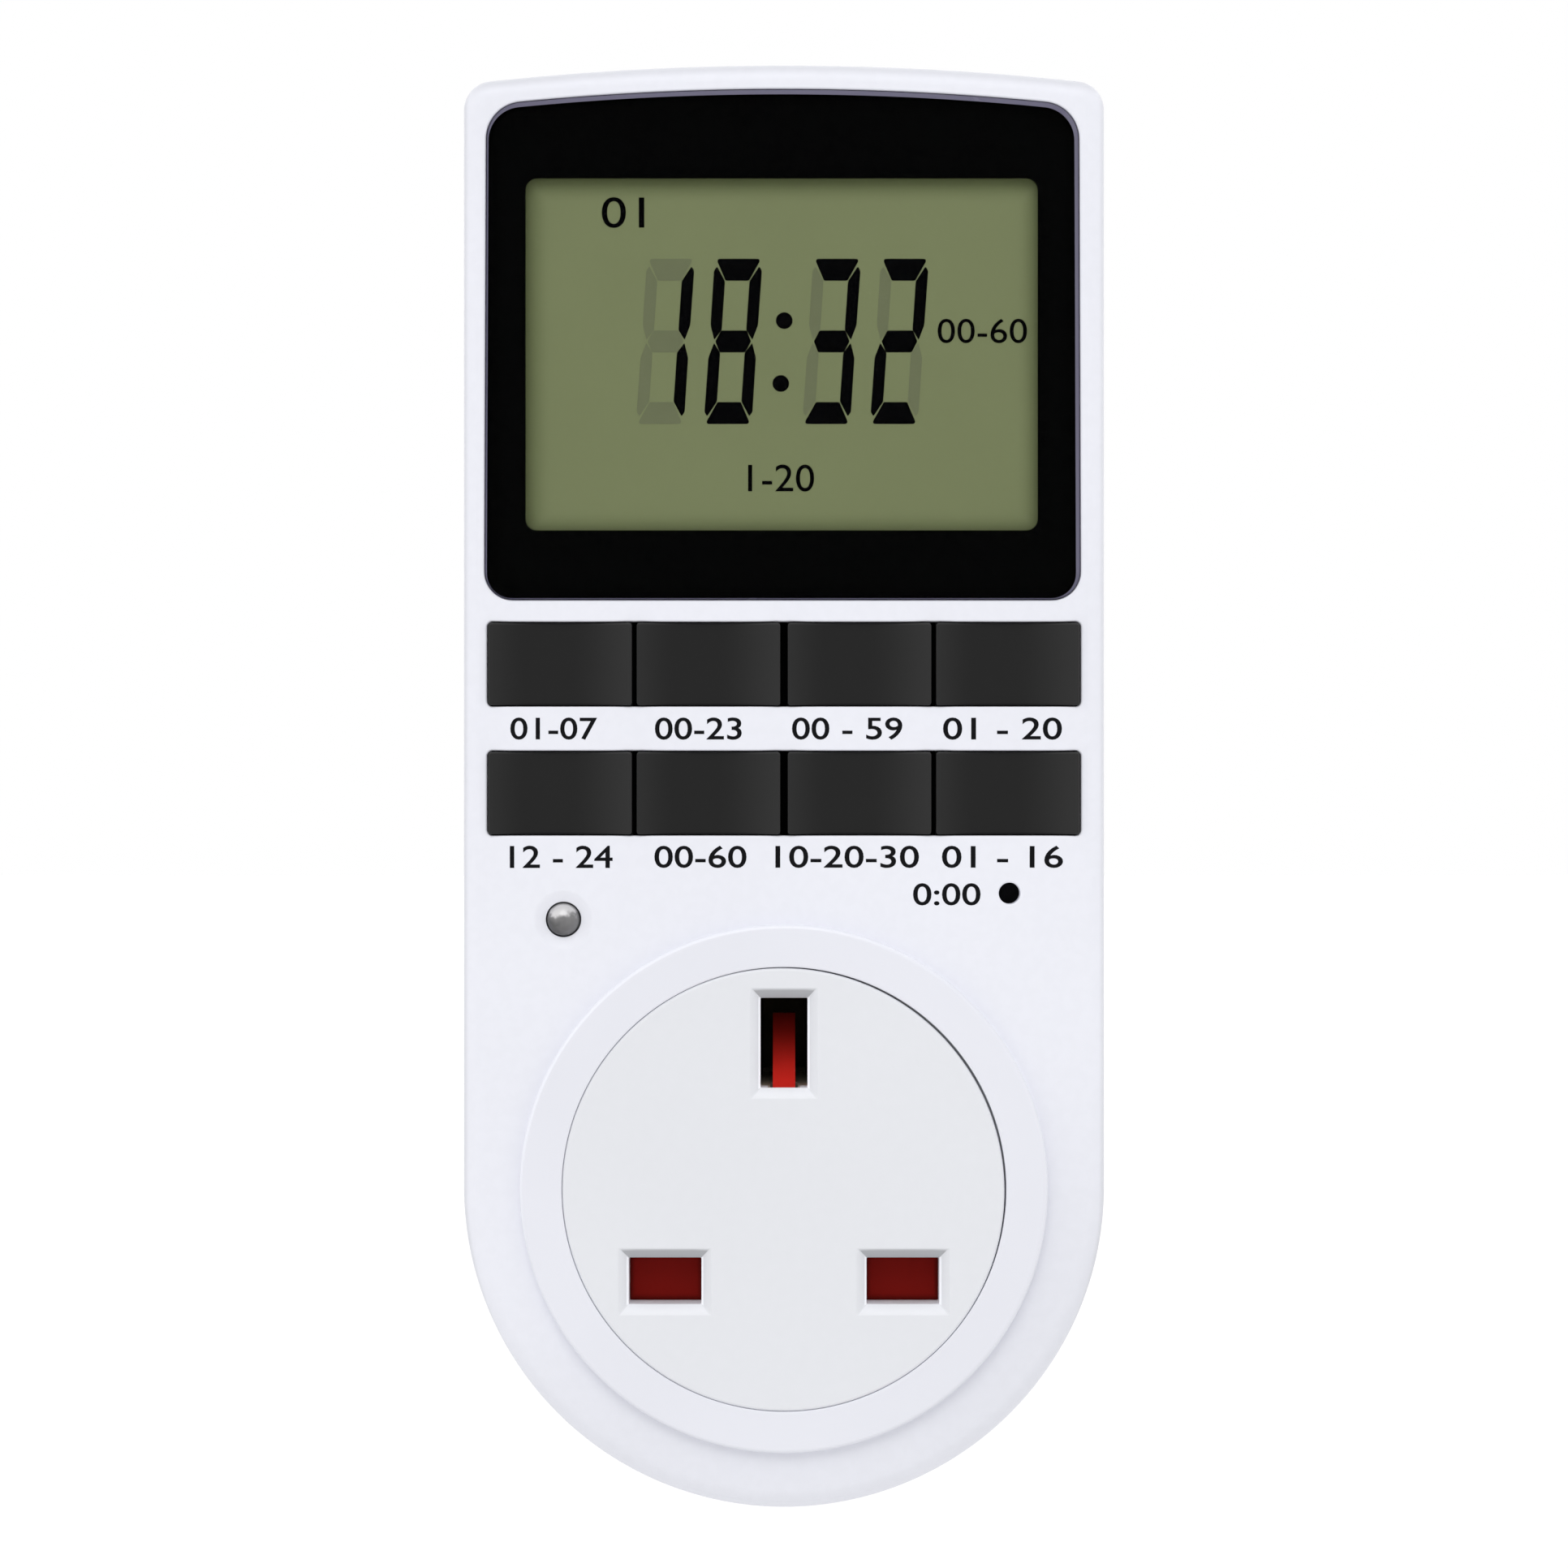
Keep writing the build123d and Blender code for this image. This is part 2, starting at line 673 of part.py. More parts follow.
def lamp_leads():
    back = inner_front + lamp_collar + lamp_flange_thick + 0.05
    leads = [disc(lamp_x + sx * lead_spacing / 2, lamp_z, lead_radius, back, control_back + 0.8)
             for sx in (-1, 1)]
    return Compound(children=leads)


def reset_switch():
    half = reset_body / 2
    front = control_front - reset_body_depth
    body = slab(reset_x - half, reset_x + half, reset_z - half, reset_z + half, front, control_front)
    body -= disc(reset_x, reset_z, reset_button_radius + 0.06, front, front + reset_well)
    return body


def reset_button():
    stem = disc(reset_x, reset_z, reset_button_radius, inner_front + reset_button_gap,
                control_front - reset_body_depth + reset_well - reset_travel - 0.05)
    return fillet(stem.faces().sort_by(Axis.Y)[0].edges(), 0.3)


def funnel(x, z, w, h):
    """Slot with a chamfered mouth in the socket disc."""
    straight = slab(x - w / 2, x + w / 2, z - h / 2, z + h / 2, disc_front, disc_back)
    mouth = loft([
        at(disc_front) * Pos(x, z) * Rectangle(w + 2 * slot_chamfer, h + 2 * slot_chamfer),
        at(disc_front + slot_chamfer) * Pos(x, z) * Rectangle(w, h),
    ])
    return straight + mouth


def socket_disc():
    body = disc(0, 0, disc_radius, disc_front, disc_back)
    body = fillet(body.faces().sort_by(Axis.Y)[0].edges(), 0.3)
    body += disc(0, 0, flange_radius, disc_flange_front, disc_back)
    for x in (-line_x, line_x):
        body -= funnel(x, line_z, slot_w, slot_h)
    body -= funnel(0, earth_z, earth_slot_w, earth_slot_h)
    # relief behind the face for the nose of the ramp
    body -= slab(-ramp_w / 2 - 0.45, ramp_w / 2 + 0.45, ramp_low_z - shutter_travel - 0.5,
                 earth_slot_low + 0.5, ramp_nose - 0.3, disc_back)
    return body


def shutter():
    plate = slab(-blade_out, blade_out, blade_low, blade_top, plate_front, plate_back)
    for s in (-1, 1):
        corner = plate.edges().filter_by(Axis.Y).filter_by(
            lambda e, s=s: abs(e.center().X - s * blade_out) < 0.1 and e.center().Z < line_z)
        plate = fillet(corner, blade_corner)
    plate += slab(-stem_half, stem_half, blade_top - 1, stem_top_z, plate_front, plate_back)
    # notch for the spring, closed above by the seat
    plate -= slab(-spring_radius - spring_wire - 0.3, spring_radius + spring_wire + 0.3,
                  blade_low, seat_z, plate_front, plate_back)
    plate += slab(-spring_radius, spring_radius, seat_z, blade_top + 0.6, plate_front,
                  spring_y + spring_radius)
    points = [
        (ramp_nose, earth_slot_low - 1.0),
        (ramp_nose, earth_slot_low - 0.2),
        (ramp_back - ramp_top, ramp_tip_z),
        (ramp_back, ramp_tip_z),
        (ramp_back, ramp_low_z + 1.0),
        (plate_back, ramp_low_z),
        (plate_front, ramp_low_z),
    ]
    web = make_face(Polyline(*[(y, z) for y, z in points], close=True))
    plate += extrude(Plane.YZ * web, amount=ramp_w / 2, both=True)
    return plate


def shutter_spring():
    length = seat_z - spring_low_z - 2 * spring_wire
    path = Helix(length / spring_turns, length, spring_radius,
                 center=(0, spring_y, spring_low_z + spring_wire))
    section = Plane(origin=path @ 0, z_dir=path % 0) * RegularPolygon(spring_wire, 8)
    return sweep(section, path=path, is_frenet=True)


def carrier_outline(gap=0.0):
    r = carrier_clip_radius - gap
    face = Pos(0, (carrier_low_z + carrier_top_z) / 2) * Rectangle(
        2 * (carrier_half - gap), carrier_top_z - carrier_low_z - 2 * gap)
    return face & Circle(r)


def contact_carrier():
    body = prism(carrier_outline(), disc_back, carrier_back)
    for x, z in ears_at:
        arm = disc(x, z, ear_radius, ear_front, ear_front + ear_thick)
        arm += slab(min(x * 0.7, x) - (0 if x else ear_radius), max(x * 0.7, x) + (0 if x else ear_radius),
                    (z if z else -ear_radius), (z * 0.7 if z else ear_radius),
                    ear_front, ear_front + ear_thick)
        body += arm
        body -= disc(x, z, block_screw_radius + screw_pass, ear_front, ear_front + ear_thick)
    # pocket in which the shutter slides
    g = shutter_side_gap
    body -= slab(-blade_out - g, blade_out + g, blade_low - shutter_travel - 0.3, blade_top + g,
                 disc_back, pocket_floor)
    body -= slab(-stem_half - g, stem_half + g, blade_top, stem_top_z + g, disc_back, pocket_floor)
    # trough for the return spring and its seat
    half = spring_radius + spring_wire + spring_gap
    body -= slab(-half, half, spring_low_z, blade_top + 0.7, disc_back, spring_y + half)
    # slot in which the ramp sinks
    body -= slab(-ramp_w / 2 - 0.25, ramp_w / 2 + 0.25, stem_top_z - 3.5 - shutter_travel - 0.4,
                 ramp_tip_z + 0.5, disc_back, ramp_back + 0.3)
    # live and neutral chambers
    leaf_out = clip_gap / 2 + clip_thick
    for x in (-line_x, line_x):
        body -= slab(x - slot_w / 2 - 0.1, x + slot_w / 2 + 0.1, line_z - slot_h / 2 - 0.1,
                     line_z + slot_h / 2 + 0.1, pocket_floor, carrier_back)
        body -= slab(x - line_leaf_w / 2 - 0.2, x + line_leaf_w / 2 + 0.2, line_z - leaf_out - 0.1,
                     line_z + leaf_out + 0.1, pocket_floor + 1.0, carrier_back)
    # earth chamber
    body -= slab(-earth_slot_w / 2 - 0.1, earth_slot_w / 2 + 0.1, earth_slot_low - 0.1,
                 earth_z + earth_slot_h / 2 + 0.1, disc_back, carrier_back)
    body -= slab(-leaf_out - 0.1, leaf_out + 0.1, earth_z - earth_slot_h / 2 - 0.1,
                 earth_z + earth_slot_h / 2 + 0.1, chamber_front, carrier_back)
    return body


def tail_slots(grow):
    """Cross sections of the three contact tails, as (x0, x1, z0, z1)."""
    z_hi = line_z + pin_thick / 2
    rows = [(x - tail_w / 2, x + tail_w / 2, z_hi - tail_thick, z_hi) for x in (-line_x, line_x)]
    rows.append((pin_thick / 2 - tail_thick, pin_thick / 2, earth_z - tail_w / 2, earth_z + tail_w / 2))
    return [(a - grow, b + grow, c - grow, d + grow) for a, b, c, d in rows]


def contact_cover():
    body = prism(carrier_outline(), carrier_back, carrier_back + cover_thick)
    for x0, x1, z0, z1 in tail_slots(0.1):
        body -= slab(x0, x1, z0, z1, carrier_back, carrier_back + cover_thick)
    # plugs that press the clips forward
    for x in (-line_x, line_x):
        web_back = pocket_floor + clip_start + clip_length_line + clip_thick
        body += slab(x - 1.5, x + 1.5, line_z - 2.4, line_z - 0.4, web_back, carrier_back)
    return body


def line_contact(x):
    front = pocket_floor + clip_start
    back = front + clip_length_line
    inner, outer = clip_gap / 2, clip_gap / 2 + clip_thick
    clip = slab(x - line_leaf_w / 2, x + line_leaf_w / 2, line_z - outer, line_z + outer,
                front, back + clip_thick)
    clip -= slab(x - line_leaf_w / 2, x + line_leaf_w / 2, line_z - inner, line_z + inner, front, back)
    mouth = loft([
        at(front) * Pos(x, line_z) * Rectangle(line_leaf_w + 1, clip_gap + clip_thick),
        at(front + clip_flare) * Pos(x, line_z) * Rectangle(line_leaf_w + 1, clip_gap),
    ])
    clip -= mouth
    x0, x1, z0, z1 = tail_slots(0)[0 if x < 0 else 1]
    return clip + slab(x0, x1, z0, z1, back, tail_end)


def earth_contact():
    front = chamber_front + 0.3
    back = front + clip_length_earth
    inner, outer = clip_gap / 2, clip_gap / 2 + clip_thick
    z0, z1 = earth_z - earth_leaf_h / 2, earth_z + earth_leaf_h / 2
    clip = slab(-outer, outer, z0, z1, front, back + clip_thick)
    clip -= slab(-inner, inner, z0, z1, front, back)
    mouth = loft([
        at(front) * Pos(0, earth_z) * Rectangle(clip_gap + clip_thick, earth_leaf_h + 1),
        at(front + clip_flare) * Pos(0, earth_z) * Rectangle(clip_gap, earth_leaf_h + 1),
    ])
    clip -= mouth
    x0, x1, z0, z1 = tail_slots(0)[2]
    return clip + slab(x0, x1, z0, z1, back, tail_end)


def plug_pin(x, z, w, h, length, sleeved):
    """Flat pin with a chamfered tip, a head inside the plug face and a solder tail."""
    bar = slab(x - w / 2, x + w / 2, z - h / 2, z + h / 2, pin_tail_end, length)
    bar = chamfer(bar.faces().sort_by(Axis.Y)[-1].edges(), pin_tip_chamfer)
    bar += slab(x - w / 2 - pin_head_over, x + w / 2 + pin_head_over, z - h / 2 - pin_head_over,
                z + h / 2 + pin_head_over, -plug_wall - pin_head_thick, -plug_wall)
    if sleeved:
        core = slab(x - w / 2 + sleeve_wall, x + w / 2 - sleeve_wall, z - h / 2 + sleeve_wall,
                    z + h / 2 - sleeve_wall, -plug_wall, sleeve_length)
        bar -= slab(x - w, x + w, z - h, z + h, -plug_wall, sleeve_length)
        bar += core
    return bar


def pin_sleeve(x):
    w, h = line_pin_w, pin_thick
    tube = slab(x - w / 2, x + w / 2, line_z - h / 2, line_z + h / 2, -plug_wall, sleeve_length)
    tube -= slab(x - w / 2 + sleeve_wall, x + w / 2 - sleeve_wall, line_z - h / 2 + sleeve_wall,
                 line_z + h / 2 - sleeve_wall, -plug_wall, sleeve_length)
    return tube


def pin_retainer():
    y_back = -plug_wall - pin_head_thick
    y_front = y_back - retainer_thick
    low = line_z - pin_thick / 2 - 3.4
    high = earth_z + earth_pin_h / 2 + 2.4
    plate = Pos(0, (low + high) / 2) * Rectangle(2 * (line_x + 8.9), high - low)
    body = prism(Circle(boss_radius - boss_wall - retainer_gap) & plate, y_front, y_back)
    for x in (-line_x, line_x):
        body -= slab(x - line_pin_w / 2 - 0.1, x + line_pin_w / 2 + 0.1, line_z - pin_thick / 2 - 0.1,
                     line_z + pin_thick / 2 + 0.1, y_front, y_back)
    body -= slab(-pin_thick / 2 - 0.1, pin_thick / 2 + 0.1, earth_z - earth_pin_h / 2 - 0.1,
                 earth_z + earth_pin_h / 2 + 0.1, y_front, y_back)
    for x, z in retainer_screws_at:
        body -= disc(x, z, block_screw_radius + screw_pass, y_front, y_back)
    return body


def earth_strap():
    x0 = pin_thick / 2
    return slab(x0, x0 + tail_thick, earth_z - tail_w / 2, earth_z + tail_w / 2, tail_end - strap_lap,
                pin_tail_end + strap_lap)


def neutral_strap():
    z0 = line_z + pin_thick / 2
    return slab(-line_x - tail_w / 2, -line_x + tail_w / 2, z0, z0 + tail_thick, tail_end - strap_lap,
                pin_tail_end + strap_lap)


def wire(points):
    path = FilletPolyline(*points, radius=wire_bend)
    section = Plane(origin=path @ 0, z_dir=path % 0) * Circle(wire_radius)
    return sweep(section, path=path)


def power_part(x, z, w, h, tall, radius=0.5):
    """Block standing on the front of the power board."""
    body = rounded(x, z, w, h, radius, power_front - tall, power_front)
    return chamfer(body.faces().sort_by(Axis.Y)[0].edges(), 0.3)


def power_board():
    board = slab(-power_half, power_half, power_low_z, power_top_z, power_front, power_back)
    for x, z in power_posts_at:
        board -= disc(x, z, board_screw_radius + 0.15, power_front, power_back)
    return board


def smoothing_capacitor():
    can = disc(can_at[0], can_at[1], can_radius, power_front - can_tall, power_front)
    return fillet(can.faces().sort_by(Axis.Y)[0].edges(), 0.6)


def varistor():
    x, z = varistor_at
    puck = Pos(x, power_front - varistor_lift, z) * Cylinder(varistor_radius, varistor_thick)
    puck = fillet(puck.edges(), varistor_thick * 0.19)
    for s in (-1, 1):
        puck += slab(x + s * varistor_radius / 2 - 0.4, x + s * varistor_radius / 2 + 0.4, z - 0.4, z + 0.4,
                     power_front - varistor_lift + varistor_radius * 0.6, power_front)
    return puck


def axial(x, z, radius, length, lift):
    """Axial part lying along X above the power board on two bent legs."""
    body = Pos(x, power_front - lift, z) * Rot(0, 90, 0) * Cylinder(radius, length)
    leg = 0.35
    for s in (-1, 1):
        end = x + s * (length / 2 + 1.6)
        inner = x + s * (length / 2 - 0.5)
        body += slab(min(inner, end), max(inner, end), z - leg, z + leg,
                     power_front - lift - leg, power_front - lift + leg)
        body += slab(end - leg, end + leg, z - leg, z + leg, power_front - lift - leg, power_front)
    return body


def relay_driver():
    """Small transistor: round body with a flat, on three legs."""
    x, z = driver_at
    y0 = power_front - driver_lift
    body = disc(x, z, driver_radius, y0 - driver_tall, y0)
    flat = z + driver_radius * 0.48
    body -= slab(x - 2 * driver_radius, x + 2 * driver_radius, flat, z + 2 * driver_radius,
                 y0 - driver_tall, y0)
    for k in (-1, 0, 1):
        leg_x = x + k * lead_spacing / 2
        body += slab(leg_x - 0.22, leg_x + 0.22, z - 0.2, z + 0.2, y0, power_front)
    return body


def backup_battery():
    """Pack of three button cells in one sleeve, lying on the board."""
    x, z = battery_at
    pack = None
    for k in range(3):
        drum = Pos(x + (k - 1) * cell_length, power_front - cell_radius, z) * Rot(0, 90, 0) * Cylinder(
            cell_radius, cell_length)
        drum = chamfer(drum.edges(), 0.35)
        pack = drum if pack is None else pack + drum
    # foot that seats the pack on the board
    foot = 1.2 * cell_length
    pack += slab(x - foot, x + foot, z - 3.0, z + 3.0, power_front - 1.2, power_front)
    return pack


def board_connectors():
    z = power_low_z + 4.0
    front = rounded(0, z, plug_w, plug_h, 0.3, control_back, control_back + plug_tall_front)
    rear = rounded(0, z, plug_w, plug_h, 0.3, power_front - plug_tall_rear, power_front)
    return Compound(children=[front, rear])


def ribbon_cable():
    z0 = power_low_z + 4.0
    z1 = z0 + ribbon_rise
    y0, y1 = control_back + plug_tall_front, power_front - plug_tall_rear
    pts = [(y0, z0), (y0 + 2.2, z0), (y0 + 4.2, z1), (y1 - 2.8, z1), (y1 - 1.6, z0), (y1, z0)]
    strip = trace(FilletPolyline(*pts, radius=ribbon_thick), line_width=ribbon_thick)
    return extrude(Plane.YZ * strip, amount=ribbon_half, both=True)


def screw(x, z, seat, length, radius, head_radius, head_thick, toward):
    """Pan-head screw; toward is -1 when the tip points to the front, +1 when it points to the wall."""
    y_tip = seat + toward * length
    y_head = seat - toward * head_thick
    shank = disc(x, z, radius, min(seat, y_tip), max(seat, y_tip))
    tip_face = shank.faces().sort_by(Axis.Y)[0 if toward < 0 else -1]
    shank = chamfer(tip_face.edges(), radius * 0.45)
    head = disc(x, z, head_radius, min(seat, y_head), max(seat, y_head))
    top_face = head.faces().sort_by(Axis.Y)[-1 if toward < 0 else 0]
    head = fillet(top_face.edges(), head_thick * 0.35)
    # cross recess
    deep = y_head + toward * recess_depth
    for w, h in ((head_radius * 1.1, head_radius * 0.28), (head_radius * 0.28, head_radius * 1.1)):
        head -= slab(x - w / 2, x + w / 2, z - h / 2, z + h / 2, min(deep, y_head), max(deep, y_head))
    return shank + head


def case_screws():
    return Compound(children=[
        screw(x, z, case_head_seat, case_screw_length, case_screw_radius, case_head_radius,
              case_head_thick, -1) for x, z in case_screws_at + mid_screws_at])


def board_screws():
    front = [screw(x, z, control_back, board_screw_length, board_screw_radius, board_head_radius,
                   board_head_thick, -1) for x, z in control_posts_at]
    rear = [screw(x, z, power_front, board_screw_length, board_screw_radius, board_head_radius,
                  board_head_thick, 1) for x, z in power_posts_at]
    return Compound(children=front + rear)


def block_screws():
    seat = -plug_wall - pin_head_thick - retainer_thick
    front = [screw(x, z, ear_front + ear_thick, ear_thick + 5.0, block_screw_radius, block_head_radius,
                   block_head_thick, -1) for x, z in ears_at]
    rear = [screw(x, z, seat, retainer_thick + 2.8, block_screw_radius, block_head_radius,
                  block_head_thick, 1) for x, z in retainer_screws_at]
    return Compound(children=front + rear)


def main():
    save(front_case(), "front_case")
    save(rear_case(), "rear_case")
    save(window(), "display_window")
    save(window_mask(), "window_mask")
    save(lcd_panel(), "lcd_panel")
    save(lcd_frame(), "lcd_frame")
    save(zebra_strips(), "zebra_strips")
    names = ("week", "hour", "minute", "recall", "clock", "timer", "mode", "random")
    spots = [(x, z) for z in (row_upper_z, row_lower_z) for x in key_xs]
    for name, (x, z) in zip(names, spots):
        save(key_cap(x, z), "key_" + name)
    save(keypad_mat(), "keypad_mat")
    save(control_board(), "control_board")
    blob = disc(chip_at[0], chip_at[1], chip_radius, control_back, control_back + chip_thick)
    save(fillet(blob.faces().sort_by(Axis.Y)[-1].edges(), chip_thick * 0.7), "controller_chip")
    x, z = crystal_at
    can = Pos(x, control_back + crystal_radius, z) * Cylinder(crystal_radius, crystal_length)
    can += slab(x - 0.5, x + 0.5, z - crystal_length * 0.4, z + crystal_length * 0.4, control_back,
                control_back + crystal_radius)
    save(can, "clock_crystal")
    save(status_lamp(), "status_lamp")
    save(lamp_leads(), "lamp_leads")
    save(reset_switch(), "reset_switch")
    save(reset_button(), "reset_button")
    save(socket_disc(), "socket_disc")
    save(shutter(), "shutter")
    save(shutter_spring(), "shutter_spring")
    save(contact_carrier(), "contact_carrier")
    save(contact_cover(), "contact_cover")
    save(line_contact(line_x), "live_contact")
    save(line_contact(-line_x), "neutral_contact")
    save(earth_contact(), "earth_contact")
    save(plug_pin(line_x, line_z, line_pin_w, pin_thick, line_pin_length, True), "live_pin")
    save(plug_pin(-line_x, line_z, line_pin_w, pin_thick, line_pin_length, True), "neutral_pin")
    save(plug_pin(0, earth_z, pin_thick, earth_pin_h, earth_pin_length, False), "earth_pin")
    save(Compound(children=[pin_sleeve(-line_x), pin_sleeve(line_x)]), "pin_sleeves")
    save(pin_retainer(), "pin_retainer")
    rise, pad_z = power_front - wire_lift, power_low_z + wire_pad

    def riser(x, y):
        """Upper run of a lead: up the case, forward over the board edge and back on to its pad."""
        return [(x, y, power_low_z - 7.0), (x, rise, power_low_z - 2.5), (x, rise, pad_z),
                (x, power_front, pad_z)]

    tail_top = line_z + pin_thick / 2
    out_x = power_half - post_inset - 3.5
    y_in, y_out, y_neutral = pin_tail_end - 1.2, tail_end - 1.0, (tail_end + pin_tail_end) / 2 - 0.45
    save(wire([(line_x + line_pin_w / 2, pin_tail_end + 0.9, line_z), (out_x, pin_tail_end + 0.9, line_z),
               (out_x, y_in, line_z + 8.6)] + riser(out_x, y_in)), "live_wire_in")
    save(wire([(line_x + 0.5, y_out, tail_top)] + riser(line_x + 0.5, y_out)), "live_wire_out")
    save(wire([(-line_x - 0.5, y_neutral, tail_top + tail_thick)]
              + riser(-line_x - 0.5, y_neutral)), "neutral_wire")
    save(earth_strap(), "earth_strap")
    save(neutral_strap(), "neutral_strap")
    save(power_board(), "power_board")
    save(power_part(*relay_at, relay_w, relay_h, relay_tall, 0.4), "relay")
    save(power_part(*film_at, film_w, film_h, film_tall, 0.8), "film_capacitor")
    save(smoothing_capacitor(), "smoothing_capacitor")
    save(varistor(), "varistor")
    save(axial(*fuse_at, fuse_radius, fuse_length, fuse_lift), "fuse_resistor")
    save(Compound(children=[
        axial(diodes_at[0], diodes_at[1] + diode_pitch * k, diode_radius, diode_length, diode_lift)
        for k in range(4)]), "rectifier_diodes")
    save(relay_driver(), "relay_driver")
    save(backup_battery(), "backup_battery")
    save(board_connectors(), "board_connectors")
    save(ribbon_cable(), "ribbon_cable")
    save(case_screws(), "case_screws")
    save(board_screws(), "board_screws")
    save(block_screws(), "block_screws")


main()
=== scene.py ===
import json
import math

import bmesh
import bpy
import numpy as np
from bpy.props import FloatProperty, FloatVectorProperty, PointerProperty, StringProperty
from mathutils.geometry import delaunay_2d_cdt
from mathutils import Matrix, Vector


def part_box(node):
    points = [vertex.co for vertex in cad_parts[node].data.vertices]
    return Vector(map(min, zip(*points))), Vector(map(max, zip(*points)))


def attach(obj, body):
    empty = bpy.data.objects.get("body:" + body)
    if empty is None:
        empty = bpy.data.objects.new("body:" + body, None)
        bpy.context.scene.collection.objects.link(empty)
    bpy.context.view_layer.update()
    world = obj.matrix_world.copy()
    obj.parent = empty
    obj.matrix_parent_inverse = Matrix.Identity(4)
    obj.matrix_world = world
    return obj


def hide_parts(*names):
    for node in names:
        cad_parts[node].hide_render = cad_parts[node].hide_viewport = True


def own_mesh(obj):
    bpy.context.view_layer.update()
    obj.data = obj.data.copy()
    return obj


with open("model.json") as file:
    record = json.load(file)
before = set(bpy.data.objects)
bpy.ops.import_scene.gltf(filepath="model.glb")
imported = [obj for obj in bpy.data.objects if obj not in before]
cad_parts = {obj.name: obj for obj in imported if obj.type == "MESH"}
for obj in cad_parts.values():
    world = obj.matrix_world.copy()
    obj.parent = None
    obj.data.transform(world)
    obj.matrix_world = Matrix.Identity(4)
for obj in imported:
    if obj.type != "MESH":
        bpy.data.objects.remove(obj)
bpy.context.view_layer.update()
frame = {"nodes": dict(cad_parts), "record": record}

bl_info = {
    "name": "Plug-in timer switch",
    "version": (1, 0, 0),
    "blender": (4, 5, 0),
    "location": "View3D > Sidebar > Timer switch",
    "description": "Finished surfaces, marks and materials of a plug-in timer switch on its CAD frame",
    "category": "Add Mesh",
}

MM = 0.001
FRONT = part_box("front_case")
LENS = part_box("display_window")
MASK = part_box("window_mask")
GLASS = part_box("lcd_panel")
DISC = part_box("socket_disc")
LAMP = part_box("status_lamp")
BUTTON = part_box("reset_button")
KEYS = ("key_week", "key_hour", "key_minute", "key_recall", "key_clock", "key_timer", "key_mode", "key_random")

# middle (x, z), width, height and tip of each plug pin; the outlet's slots lie on the same middles
PINS = {name: tuple(v * MM for v in sizes) for name, sizes in (
    ("live_pin", (11.1, -8.6, 6.35, 4.0, 17.7)), ("neutral_pin", (-11.1, -8.6, 6.35, 4.0, 17.7)),
    ("earth_pin", (0.0, 13.6, 4.0, 8.0, 22.7)))}
LEFT_TO_RIGHT = ("neutral_pin", "live_pin", "earth_pin")
PIN_CORNER = 0.35 * MM
PIN_ROOT = -2.4 * MM

# all in millimetres: middles (x, z) of the case screws, the digits and the dots of the colon
SCREWS = ((-24.6, 99.2), (24.6, 99.2), (-25.0, 13.5), (25.0, 13.5))
DIGIT_X, DIGIT_Z, COLON = (-11.13, -4.77, 4.48, 10.84), 79.3, ((0.02, 81.25), (-0.30, 75.35))
# text, middle (x, z), height and width of the small marks on the display and of the numbers on the case
DISPLAY_MARKS = (("01", -15.12, 91.4, 2.9, 4.0), ("00-60", 18.62, 80.28, 2.3, 8.4), ("1-20", -0.27, 66.47, 2.55, 6.2))
UPPER, LOWER, TALL = 42.92, 30.95, 2.08
CASE_NUMBERS = (
    ("01-07", -21.5, UPPER, TALL, 8.1), ("00-23", -8.0, UPPER, TALL, 8.1), ("00 - 59", 5.9, UPPER, TALL, 10.3),
    ("01 - 20", 20.4, UPPER, TALL, 11.1), ("12 - 24", -20.8, LOWER, TALL, 9.6), ("00-60", -7.8, LOWER, TALL, 8.6),
    ("10-20-30", 5.9, LOWER, TALL, 13.4), ("01 - 16", 20.4, LOWER, TALL, 11.3), ("0:00", 15.2, 27.45, TALL, 6.3),
)


def centre(box, axis):
    """Middle of a box along one axis."""
    return (box[0][axis] + box[1][axis]) / 2


def length(text, value, about):
    """A setting in metres."""
    return FloatProperty(name=text, description=about, default=value, unit="LENGTH", precision=5)


def colour(text, value, about):
    """A setting for a linear colour."""
    return FloatVectorProperty(name=text, description=about, default=value, subtype="COLOR", size=3,
                               min=0.0, max=1.0)


class CaseSettings(bpy.types.PropertyGroup):
    half_width: length("Half width", FRONT[1][0], "Middle of the case to its side")
    crown: length("Crown", FRONT[1][2], "Height of the arched upper edge over the socket axis")
    crown_radius: length("Crown radius", 257.0 * MM, "Radius of the arched upper edge")
    corner: length("Corner", 2.7 * MM, "Radius of the upper corners, seen from the front")
    front: length("Front plane", -41.0 * MM, "Depth of the front face")
    parting: length("Parting", -27.0 * MM, "Depth of the joint between the two halves")
    back: length("Back plane", -8.0 * MM, "Depth of the rear face of the tall body")
    front_round: length("Front round", 1.7 * MM, "Round along the front edge")
    back_round: length("Back round", 2.4 * MM, "Round along the rear edge")
    wall: length("Side wall", 2.0 * MM, "Thickness of the side wall")
    skin: length("Face thickness", 2.2 * MM, "Thickness of the front and rear faces")
    seam_depth: length("Seam depth", 0.3 * MM, "Depth of the shadow groove on each half")
    seam_width: length("Seam width", 0.35 * MM, "Width of the shadow groove on each half")
    ring_radius: length("Ring radius", 24.6 * MM, "Outer radius of the raised ring")
    ring_bore: length("Ring bore", 20.7 * MM, "Inner radius of the raised ring")
    ring_round: length("Ring round", 0.4 * MM, "Round along the outer edge of the ring")
    edge: length("Opening edge", 0.18 * MM, "Round along the edges of the openings")
    boss_radius: length("Plug boss", 24.0 * MM, "Radius of the boss that carries the pins")
    boss_round: length("Plug boss round", 1.5 * MM, "Round along the edge of the plug boss")


